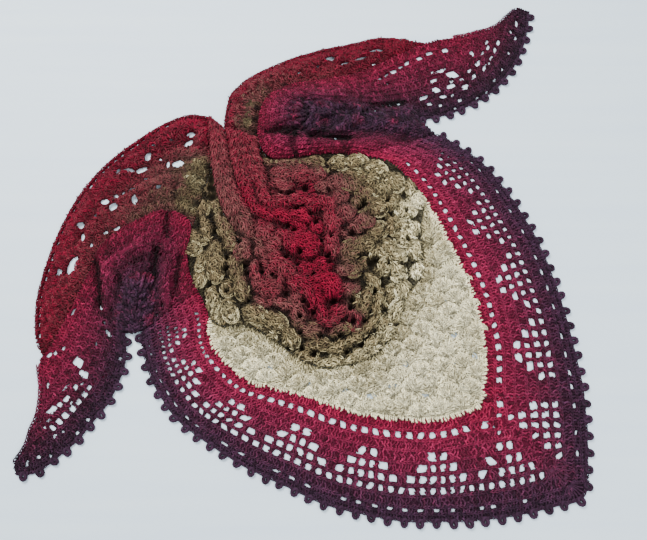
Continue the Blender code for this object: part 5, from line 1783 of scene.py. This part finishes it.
divide_line = [*divide, *divide[::-1]]
fans_loop = tidy_loop(OUTLINES["fans"])
fans_sheet = under_sheet("body_fans_sheet", OUTLINES["fans"], lambda x, y: flat_fan_height(x, y) - 1.8,
                         fans_tone, body_shaded_depths, ["body_fans"], "in one", thin_rings, 5.0)
stitches = Stitches()
row, column = np.meshgrid(np.arange(-24, 24), np.arange(-20, 20))
along = ((column + 0.5 * (row % 2)) * FAN_WIDTH).ravel()
across = (row * FAN_ROW - FAN_ROW * 0.42).ravel()
feet = []
for a, b in zip(along, across):
    x = a * math.cos(FAN_LEAN) - b * math.sin(FAN_LEAN) + dice.normal(0, 0.7)
    y = a * math.sin(FAN_LEAN) + b * math.cos(FAN_LEAN) + dice.normal(0, 0.7)
    top = np.array([x - math.sin(FAN_LEAN) * 6.0, y + math.cos(FAN_LEAN) * 6.0])
    thin = any(inside(ring, *top[:, None])[0] for ring in thin_rings)
    if not thin and inside(fans_loop, *top[:, None])[0] and distance_to(fans_loop, *top[:, None])[0] > 4.5:
        feet.append((x, y, FAN_LEAN + math.pi / 2 + dice.normal(0, 0.1)))
for x, y, turned in feet:
    tone = float(fans_tone(np.array([x]), np.array([y]))[0])
    work_fan(stitches, (x, y), turned, 13.6, 1.02, flat_fan_height, tone, 6, dice.normal(1.08, 0.06))
cover(stitches, fans_loop, lambda x, y: flat_fan_height(x, y) - 0.4, fan_field(feet, 14, fans_tone),
      margin=1.5, keep=thinned)
# Over the seam, short loose strands of cream reach out on to the border's first row.
seam = evenly([*seam_line(left, -36, 4), *seam_line(corner, 4, 19.5), *seam_line(right, 19.5, 43)], 4.6)
way = unit(np.diff(seam, axis=0))
out = right_of(way)
middle = (seam[:-1] + seam[1:]) / 2
flat = np.full((len(middle), 1), CLOTH - 0.3)
for shift in (-1.2, 1.2):
    reach = dice.uniform(0.2, 3.2, len(middle))[:, None] ** 1.1
    lean = dice.normal(0, 1.2, len(middle))[:, None]
    start = np.hstack([middle + way * shift + out * reach + way * lean, flat + 0.5])
    end = np.hstack([middle + way * shift - out * 2.6, flat])
    stitches.add(CURL, start, end, 2.2, 2.0, 0.99, dice.normal(1.2, 0.15, len(middle)).clip(0.7, 1.6),
                 dice.normal(0, 0.4, len(middle)), 1.0)
declare(fans_sheet, stitches.piece("body_fans_stitches", body_yarn, 0.3))

# %% [markdown]
# ### The heap of puffed fans
#
# The lumps are placed as the photo shows them, and low puffs fill the room between. Each is a
# low half egg on the mound. Short strands run over it from its foot, and arcs of chain, painted
# lighter as a highlight, follow its rim where no other puff stands higher. In small pits between
# the puffs no strands lie, and the sheet below shows, painted darker still as shade.

# %% The heap
# Arcs of chain on a puff: share of the way to its rim, reach in radians, and how many links show.
RED_ARCS, KHAKI_ARCS = ((0.8, 1.85, 0.55),), ((0.88, 1.7, 0.85), (0.5, 0.7, 0.4))


def fill_between(puffs, loop):
    """Low puffs wherever the lumps leave room, since the heap is folded cloth all over."""
    x, y = grid_in(loop, 6.0, 5.2, 4.0, 0.7)
    order = dice.permutation(len(x))
    found = list(puffs)
    for i in order:
        at = np.array(found)
        to_x, to_y = x[i] - at[:, 0], y[i] - at[:, 1]
        u = (to_x * at[:, 2] + to_y * at[:, 3]) / (at[:, 4] + 3.0)
        v = (to_y * at[:, 2] - to_x * at[:, 3]) / (at[:, 5] + 3.0)
        if (u * u + v * v > 1.15).all():
            near = np.argmin(np.hypot(to_x, to_y))
            turn = math.atan2(at[near, 3], at[near, 2]) + dice.normal(0, 0.4)
            found.append((x[i], y[i], math.cos(turn), math.sin(turn), dice.uniform(12, 17),
                          dice.uniform(8, 11), dice.uniform(3.5, 5.5),
                          at[near, 7] + dice.normal(0, 0.03)))
    return np.array(found)


lumps = np.array(LUMPS, float)
lump_turn = np.radians(lumps[:, 4])
lumps = np.column_stack([
    lumps[:, :2], np.cos(lump_turn), np.sin(lump_turn), lumps[:, 2:4] * 1.08, lumps[:, 5:],
])
PUFFS = fill_between(lumps, tidy_loop(OUTLINES["heap"]))
print(len(lumps), "lumps and", len(PUFFS) - len(lumps), "puffs between them")


def mound_height(x, y):
    """The heap without its puffs: one low mound."""
    off = np.hypot((x - HEAP_MIDDLE[0]) / HEAP_HALF_X, (y - HEAP_MIDDLE[1]) / HEAP_HALF_Y)
    return CLOTH + HEAP_RISE * np.maximum(0.0, 1 - off**2)


def waver(x, y):
    """Moves places a little to and fro, so that no puff keeps a smooth rim."""
    return x + 1.3 * np.sin(y / 3.6 + np.sin(x / 9)), y + 1.3 * np.sin(x / 3.9 + np.sin(y / 8))


def bulges(x, y):
    """How high each puff stands over the mound at each place."""
    x, y = waver(x, y)
    to_x, to_y = x[..., None] - PUFFS[:, 0], y[..., None] - PUFFS[:, 1]
    u = (to_x * PUFFS[:, 2] + to_y * PUFFS[:, 3]) / PUFFS[:, 4]
    v = (to_y * PUFFS[:, 2] - to_x * PUFFS[:, 3]) / PUFFS[:, 5]
    return PUFFS[:, 6] * np.sqrt(np.clip(1 - u * u - v * v, 0, 1))


def heap_height(x, y):
    """The mound with its puffs, which run into each other, and its pits."""
    merged = (bulges(x, y) ** 4).sum(axis=-1) ** (1 / 4)
    return mound_height(x, y) + merged - pit_depth(x, y) * (4 + merged)


# Columns: middle and size.
HEAP_PITS = (
    (-27.7, 56.3, 2.2), (-18, 55.7, 2.2), (-11.9, 56.3, 2.2), (1.4, 62.8, 5.2), (29.5, 60.2, 2.7),
    (-8, 35.7, 2.9), (-2, 38.3, 2.2), (7.7, 28.1, 2.9), (-18.6, 14.1, 3.6), (-11.3, 7.8, 3.8),
    (15, 19.2, 3.8), (21, -5.9, 3.1), (-20.4, -24.4, 3.8), (-3.9, -19.5, 3.4), (-6.1, -34.2, 2.9),
    (-48.3, -42.7, 3.6), (-49.7, -35.4, 2.5), (-36.5, -46.3, 2.5), (-31.7, -49.9, 2.5),
    (12.8, -46.3, 2.2), (1.4, -77.4, 3.6), (6, -83.3, 2.9), (13, -90.3, 3.4), (35, -77.4, 4.9),
    (33, 0.3, 2.2), (80.1, -31.8, 5.8), (86.1, -28.1, 4.9), (-90.8, -37.8, 3.4),
    (-68.6, -34.2, 5.2), (-65.9, -43.9, 3.8), (-90.2, -25.6, 2.7), (-19.7, -69.1, 3.6),
    (29.3, -23.2, 3.8), (30.5, -30.5, 3.4), (-41.2, 60.2, 2.2), (-38.7, 55, 2), (58.1, 4.1, 4.5),
    (73.1, 43.4, 4.5), (68.2, 38.3, 3.6), (102.3, 48.6, 2.7), (106.6, 29.3, 2.9),
    (124.8, -0.9, 3.4), (55.9, -84.4, 4.9), (57.1, -76.2, 4), (58, -100.8, 4.5),
    (42.9, -115.8, 2.9), (13.2, -137.5, 4.7), (-0.5, -131.8, 3.4), (50.7, -135.2, 3.4),
    (67.9, -128.4, 3.4), (-17.6, -131.8, 2.9), (-37, -128.4, 2.5), (-3.1, -95, 3.4),
    (102.5, -30.5, 2.9), (84.1, -65.5, 3.4), (93.6, -58.3, 2.9), (96.3, -86.8, 3.1),
    (71.8, -99.6, 2.7), (-98.4, 29.3, 2.7), (-107.1, 9.1, 3.6), (-76.7, -5.9, 3.4),
    (-2.9, -114.7, 2.9), (21.1, -117, 2.9), (-109.9, -57.1, 2.7), (-89.8, -64.3, 2.9),
    (-63.7, -76.2, 2.9), (116.7, -31.8, 2.9), (131.8, 26.8, 2.5), (124.9, 35.7, 2.2), (-117, 80, 7),
    (-114.5, 67, 6.5), (-113, 55, 6),
)


def pit_depth(x, y):
    """From 0 to 1: the small openings between the fans, where the cloth sinks and is painted dark as shade.
    """
    deep = np.zeros(np.shape(x))
    for px, py, size in HEAP_PITS:
        deep = np.maximum(deep, np.exp(-(((x - px) ** 2 + (y - py) ** 2) / size**2) ** 2))
    return deep


def heap_tone(x, y):
    """Each puff has a tone of its own, and neighbours shade into each other."""
    off = ((x[:, None] - PUFFS[:, 0]) ** 2 + (y[:, None] - PUFFS[:, 1]) ** 2) / (PUFFS[:, 4] * PUFFS[:, 5])
    weight = np.exp(-1.2 * off) + 1e-9
    return (weight * PUFFS[:, 7]).sum(axis=1) / weight.sum(axis=1)


heap_loop = tidy_loop(OUTLINES["heap"])
# The sheet is painted darker in the pits: painted shade in the small openings.
heap_sheet = under_sheet("body_gathered_sheet", OUTLINES["heap"], lambda x, y: heap_height(x, y) - 2.0,
                         heap_tone, body_shaded_depths, ["body_gathered"], "in one", (), 3.2,
                         light=lambda x, y: 0.75 - 0.65 * pit_depth(x, y))


def heap_field(x, y):
    """Strands run over each puff from its foot, and lie in the shade between the puffs."""
    high = bulges(x, y)
    owner = np.argmax(high, axis=1)
    puff = PUFFS[owner]
    to_x = x - puff[:, 0] + puff[:, 2] * puff[:, 4] * 1.1
    to_y = y - puff[:, 1] + puff[:, 3] * puff[:, 4] * 1.1
    share = np.minimum(1.0, (high**3).sum(axis=1) ** (1 / 3) / puff[:, 6])
    tone = heap_tone(x, y)
    khaki = np.clip((tone - 0.45) / 0.15, 0, 1)
    # Painted shade: strands low between the puffs, near the pits and in the folds of the relief get less
    # light; on khaki puffs the light also varies at random.
    shade = 0.4 - 0.24 * khaki + (0.72 + 0.42 * khaki) * share
    shade = shade * (1 - 0.9 * pit_depth(x, y)) * relief(heap_height, x, y)
    shade = shade * (1 + khaki * dice.normal(0, 0.3, len(x))).clip(0.4, 1.8)
    return np.arctan2(to_y, to_x) + dice.normal(0, 0.45, len(x)), tone, shade


def out_of_pits(x, y):
    """Strands lie everywhere but in the pits."""
    return pit_depth(x, y) < 0.5


stitches = Stitches()
cover(stitches, heap_loop, heap_height, heap_field, 2.75, keep=out_of_pits)
for px, py, way_x, way_y, half_length, half_width, crest, tone in PUFFS:
    for share, reach, often in RED_ARCS if tone < 0.5 else KHAKI_ARCS:
        around = np.linspace(-reach, reach, max(4, int(reach * share * (half_length + half_width) / 3.4)))
        a, b = half_length * share * np.cos(around), half_width * share * np.sin(around)
        x, y = px + way_x * a - way_y * b, py + way_y * a + way_x * b
        own = crest * math.sqrt(1 - share**2)
        ring = np.column_stack([x, y, heap_height(x, y) + 0.7])
        clear = (bulges(x, y).max(axis=-1) - own < 1.2) & inside(heap_loop, x, y) & out_of_pits(x, y)
        clear &= distance_to(heap_loop, x, y) > 2.0
        kept = clear[:-1] & clear[1:] & (dice.random(len(x) - 1) < often)
        if kept.any():
            # Painted highlight: the arcs get more light and a paler tone than the puffs whose rims they
            # follow.
            paler, bright = (0.02, 1.2) if tone < 0.4 else (0.11, 1.4)
            light = dice.normal(bright, 0.2, int(kept.sum())).clip(0.7, 1.9)
            stitches.add(LINK, ring[:-1][kept], ring[1:][kept], 3.0, 2.4, tone + paler, light, 0.0, 1.25)
declare(heap_sheet, stitches.piece("body_gathered_stitches", body_yarn, 0.25))

# %% [markdown]
# ### The strands of the neck edge
#
# The neck edge of each wing is gathered into a thick strand that runs down into the heap. Its fans
# are pulled long and lie along it, with the ribs of their edges across.

# %% Gathered strands
RIB_PITCH, FINE_STEP = 13, 1.5
crease_line = [*crease, *crease[::-1]]


def strand_piece(name, line, tones, melts):
    """A strand along a middle line, with its tones from one end to the other."""
    loop = tidy_loop(OUTLINES[name])

    def own(x, y):
        """The share of a place that is strand: towards its end it melts into the heap."""
        to_end = np.hypot(x - line[-1][0], y - line[-1][1])
        return np.clip((to_end - 0.25 * melts) / (0.75 * melts), 0, 1)

    def height(x, y):
        off = np.minimum(1.0, distance_to(loop, x, y) / 14)
        off = np.where(inside(loop, x, y), off, 0.0)
        ribs = 0.8 * np.cos(along_line(x, y)[0] * 2 * math.pi / RIB_PITCH)
        rope = CLOTH + STRAND_EDGE + (STRAND_CREST - STRAND_EDGE) * np.sqrt(1 - (1 - off) ** 2) + ribs * off
        return rope + (heap_height(x, y) - rope) * (1 - own(x, y))

    fine = evenly(line, FINE_STEP)

    def along_line(x, y):
        off = np.hypot(np.asarray(x)[..., None] - fine[:, 0], np.asarray(y)[..., None] - fine[:, 1])
        nearest = np.argmin(off, axis=-1)
        return nearest * FINE_STEP, nearest

    def tone(x, y):
        along = np.interp(along_line(x, y)[0] / (len(fine) * FINE_STEP), np.linspace(0, 1, len(tones)), tones)
        bright = 0.16 * np.exp(-(distance_to(crease_line, x, y) / 5) ** 2) * np.clip((80 - y) / 30, 0, 1)
        return (along - bright) * own(x, y) + heap_tone(x, y) * (1 - own(x, y))

    sheet = under_sheet(name + "_sheet", OUTLINES[name], lambda x, y: height(x, y) - 2.0, tone,
                        body_shaded_depths, ["neck_" + name], "in one", (), 4.0)
    stitches = Stitches()

    def field(x, y):
        at, nearest = along_line(x, y)
        before, after = np.clip(nearest - 3, 0, len(fine) - 1), np.clip(nearest + 3, 0, len(fine) - 1)
        way = fine[after] - fine[before]
        angle = np.arctan2(way[:, 1], way[:, 0])
        off = (x - fine[nearest, 0]) * -np.sin(angle) + (y - fine[nearest, 1]) * np.cos(angle)
        # Painted light: lighter on each rib and on the relief's ridges, darker between them.
        rib = np.cos(at * 2 * math.pi / RIB_PITCH)
        turn, _, light = heap_field(x, y)
        heaped = own(x, y) < dice.uniform(0.3, 0.7, len(x))
        turn = np.where(heaped, turn, angle + np.clip(off / 12, -1, 1) * 0.8)
        return turn, tone(x, y), np.where(heaped, light, (0.95 + 0.12 * rib) * relief(height, x, y))

    cover(stitches, loop, height, field, 2.6)
    declare(sheet, stitches.piece(name + "_stitches", body_yarn, 0.25))


left_middle = ((-112, 160), (-107, 130), (-103, 100), (-97, 68), (-83, 38), (-70, 8), (-64, -26))
right_middle = ((-78, 138), (-74, 112), (-69, 88), (-60, 66), (-48, 45), (-28, 30))
strand_piece("strand_left", smooth_line(left_middle, 6), (0.16, 0.20, 0.27, 0.30, 0.34, 0.34), 62)
strand_piece("strand_right", smooth_line(right_middle, 6), (0.14, 0.18, 0.20, 0.20, 0.17), 84)

# %% [markdown]
# ### The wings' fans
#
# On the wings the rows of fans run along the neck edge. A wing is ruled between its seam and its
# neck edge, and each row of fans keeps one share of the way across. The yarn is brightest near the
# neck edge, where the work began.

# %% Wings
ROW_PITCH, FAN_PITCH = 11.5, 17
# Places where the yarn is browner: middle, size, and how much.
LEFT_TINTS = (
    (-149, 48, 14, 0.34), (-133, 39, 10, 0.34), (-133, 71, 12, 0.34), (-176, 54, 13, 0.2),
    (-127, 100, 11, 0.24), (-209, 30, 9, 0.16), (-193, 40, 9, 0.18),
)
RIGHT_TINTS = ((-55, 202, 8, 0.22), (-70, 183, 9, 0.3), (-74, 156, 9, 0.38), (-69, 130, 8, 0.3))
# Painted shade in the hollows between the folds, where only the light is turned down: middle and size.
LEFT_DIP_SHADES = (
    (-118, 94, 6), (-119, 80, 7), (-124, 67, 6), (-160, 61, 6), (-132, 46, 5), (-147, 33, 3),
    (-198, 32, 3), (-165, 7, 3),
)
RIGHT_DIP_SHADES = (
    (-61, 176, 5), (-63, 159, 5), (-62, 142, 5), (-59, 126, 5), (-93, 185, 3), (-26, 210, 3),
    (-43, 220, 3),
)


def along_and_inward(line, loop):
    """At each point of an edge, the way along it and the way into the piece that it bounds."""
    way = unit(np.gradient(line, axis=0))
    inward = right_of(way)
    half_way = len(line) // 2
    if not inside(loop, *(line[half_way] + inward[half_way] * 4.5)[:, None])[0]:
        inward = -inward
    return way, inward


def neck_slits(neck_side, loop, first, last):
    """Small slits behind the first chain of the neck edge, over a share of its length."""
    line = evenly(neck_side, 11.5)
    way, inward = along_and_inward(line, loop)
    found = []
    for i in range(int(first * len(line)), int(last * len(line))):
        x, y = line[i] + inward[i] * 4.6 + way[i] * dice.normal(0, 1.5)
        turn = math.degrees(math.atan2(way[i, 1], way[i, 0])) + dice.normal(0, 12)
        found.append(oval(x, y, dice.uniform(4.0, 7.0), dice.uniform(2.1, 3.0), turn))
    return found


def wing_piece(name, seam_side, neck_side, tone_at, rings, tints, dip_shades):
    """A wing, ruled between two sides that run the same way."""
    loop = tidy_loop(OUTLINES[name])
    seam_side, neck_side = evenly(seam_side, 2.0), evenly(neck_side, 2.0)

    def spot(a, b):
        """A place on the wing: a is the share along it, b the share across from seam to neck."""
        s = [np.interp(a, np.linspace(0, 1, len(seam_side)), seam_side[:, k]) for k in (0, 1)]
        n = [np.interp(a, np.linspace(0, 1, len(neck_side)), neck_side[:, k]) for k in (0, 1)]
        return s[0] + (n[0] - s[0]) * b, s[1] + (n[1] - s[1]) * b

    def height(x, y):
        return CLOTH + np.maximum(0.0, fold_height(WING_FOLDS, x, y) - 0.4)

    known_a, known_b = (v.ravel() for v in np.meshgrid(np.linspace(0, 1, 90), np.linspace(0, 1, 24)))
    known_x, known_y = spot(known_a, known_b)

    def tone(x, y):
        nearest = nearest_of(known_x, known_y, x, y)
        shade = tone_at(known_a[nearest], known_b[nearest])
        for at_x, at_y, size, more in tints:
            shade = shade + more * np.exp(-((x - at_x) ** 2 + (y - at_y) ** 2) / size**2)
        return np.minimum(shade, 0.7)

    cut = clear_rings(rings, OUTLINES[name], 1.0)
    sheet = under_sheet(name + "_sheet", OUTLINES[name], lambda x, y: height(x, y) - SHEET_DEPTH, tone,
                        body_shaded_depths, [name + "_body"], "with uneven openings", cut, 5.5,
                        lambda x, y: height(x, y) - CLOTH)
    stitches = Stitches()
    feet = []
    rows = int(round(math.dist(*[np.array(spot(0.5, v)) for v in (0.0, 1.0)]) / ROW_PITCH))
    for row in range(-1, rows + 2):
        b = row / rows
        line = np.array(spot(np.linspace(0, 1, 200), np.full(200, b))).T
        count = max(2, int(round(length_along(line)[-1] / FAN_PITCH)))
        at = (np.arange(count) + 0.5 * (row % 2) + dice.normal(0, 0.05, count)) / count
        for share in at:
            x, y = spot(share, b)
            ahead, behind = spot(min(1.0, share + 0.01), b), spot(max(0.0, share - 0.01), b)
            line_way = math.atan2(ahead[1] - behind[1], ahead[0] - behind[0])
            up = np.array(spot(share, b + 0.05)) - np.array([x, y])
            across = math.atan2(up[1], up[0])
            turned = line_way + (math.pi / 2 if math.sin(across - line_way) > 0 else -math.pi / 2)
            feet.append((float(x), float(y), turned))
    for x, y, turned in feet:
        top = np.array([[x + math.cos(turned) * 5], [y + math.sin(turned) * 5]])
        if not inside(loop, *top)[0] or distance_to(loop, *top)[0] < 7.0:
            continue
        if any(distance_to(ring, *top)[0] < 4.5 or inside(ring, *top)[0] for ring in rings):
            continue
        work_fan(stitches, (x, y), turned + dice.normal(0, 0.12), 11.4, 0.95, height, float(tone(*top)[0]),
                 5, dice.normal(0.94, 0.12))

    def keep(x, y):
        clear = np.ones(len(x), bool)
        for ring in rings:
            clear &= ~inside(ring, x, y) & (distance_to(ring, x, y) > 1.3)
        return clear

    plain = fan_field(feet, 12, tone)

    def field(x, y):
        turn, shade, light = plain(x, y)
        # Painted shade: the light is turned down in the hollows between the folds, follows the relief, and is
        # a little dimmer overall.
        for at_x, at_y, size in dip_shades:
            light = light * (1 - 0.85 * np.exp(-(((x - at_x) ** 2 + (y - at_y) ** 2) / size**2) ** 2))
        return turn, shade, 0.88 * light * relief(height, x, y)

    cover(stitches, loop, height, field, 2.9, keep=keep)
    edge = evenly(neck_side, 4.4)
    inward = along_and_inward(edge, loop)[1]
    for lift, off, shade in ((0.4, 1.3, 0.75), (-0.4, 7.8, 0.95)):
        line = edge + inward * off
        places = np.column_stack([line, height(line[:, 0], line[:, 1]) - 0.4 + lift])
        stitches.add(LINK, places[:-1], places[1:], 3.2, 2.8, 0.06,
                     dice.normal(shade, 0.16, len(line) - 1).clip(0.4, 1.4), 0.0, 1.2)
    stitches.clear(cut)
    declare(sheet, stitches.piece(name + "_stitches", body_yarn, 0.3))


def left_wing_tone(a, b):
    """Bright at the neck edge, dusty and then khaki towards the heap."""
    khaki = 0.34 * np.exp(-((1 - a) ** 2 + (b - 0.45) ** 2) / 0.03)
    return 0.07 + 0.24 * np.clip(1 - b, 0, 1) * (0.25 + 0.75 * a) + khaki


def right_wing_tone(a, b):
    """Bright all over, a little browner towards the heap."""
    return 0.09 + 0.28 * np.clip(1 - b, 0, 1) * np.exp(-(a / 0.5) ** 2)


wing_rings = [oval(*row) for row in WING_OPENINGS]
left_slits = neck_slits(neck_left, tidy_loop(OUTLINES["wing_left"]), 0.02, 0.9)
wing_piece("wing_left", seam_line(left, -78, -48), neck_left, left_wing_tone,
           [*wing_rings, *left_slits], LEFT_TINTS, LEFT_DIP_SHADES)
wing_piece("wing_right", seam_line(right, 71, 99), neck_right[::-1], right_wing_tone,
           wing_rings, RIGHT_TINTS, RIGHT_DIP_SHADES)

# %% [markdown]
# ## Table and light
#
# The scarf lies on a pale, slightly cool table. The light is soft and comes from above, a little
# from the upper left, so that each stitch has a light side and the shadows stay small.

# %% Table
def table_finish():
    """A pale, slightly cool table with a faint grain."""
    finish = Finish("pale_table")
    place = finish.node("ShaderNodeTexCoord", output="Object")
    stretched = finish.node("ShaderNodeMapping", inputs={"Vector": place, "Scale": (1.5, 22, 1)})
    grain = finish.noise(stretched, 2.0, 4)
    run = ((0.3, shown(221, 239, 253)), (0.7, shown(228, 245, 255)))
    colour = finish.node("ShaderNodeValToRGB", {"stops": run}, {0: grain})
    bump = finish.node("ShaderNodeBump", inputs={"Height": grain, "Strength": 0.05, "Distance": 0.001})
    finish.set(Base_Color=colour, Roughness=0.6, Normal=bump, Specular_IOR_Level=0.3)
    return finish.material


bpy.ops.mesh.primitive_plane_add(size=6, location=(0, 0, -0.0003))
table = bpy.context.object
table.name = "table"
table.data.materials.append(table_finish())
print("table is", table.dimensions.x, "m wide")

# %% [markdown]
# ### Light
#
# A square lamp stands for a window at the upper left, and a weaker one fills the shadows. A pale
# room lights the rest.

# %% Light
def softbox(name, place, size, power, colour):
    """A square lamp that looks at the middle of the table."""
    lamp = bpy.data.lights.new(name, "AREA")
    lamp.shape, lamp.size, lamp.energy, lamp.color = "SQUARE", size, power, colour
    holder = bpy.data.objects.new(name, lamp)
    holder.location = place
    x, y, z = place
    holder.rotation_euler = (math.atan2(math.hypot(x, y), z), 0.0, math.atan2(y, x) + math.pi / 2)
    bpy.context.scene.collection.objects.link(holder)


softbox("window", (-0.6, 0.8, 1.5), 0.8, 44, (1.0, 0.99, 0.98))
softbox("fill", (0.9, -0.6, 1.6), 1.4, 24, (0.94, 0.97, 1.0))
world = bpy.context.scene.world or bpy.data.worlds.new("room")
bpy.context.scene.world = world
world.use_nodes = True
world.node_tree.nodes["Background"].inputs["Color"].default_value = (0.93, 0.96, 1.0, 1)
world.node_tree.nodes["Background"].inputs["Strength"].default_value = 0.76
print("two softboxes and a pale room")

# %% [markdown]
# ## The last steps
#
# The stitch shapes have done their work and go.

# %% Tidy
for shape in list(stitch_shapes.objects):
    bpy.data.objects.remove(shape)
bpy.data.collections.remove(stitch_shapes)
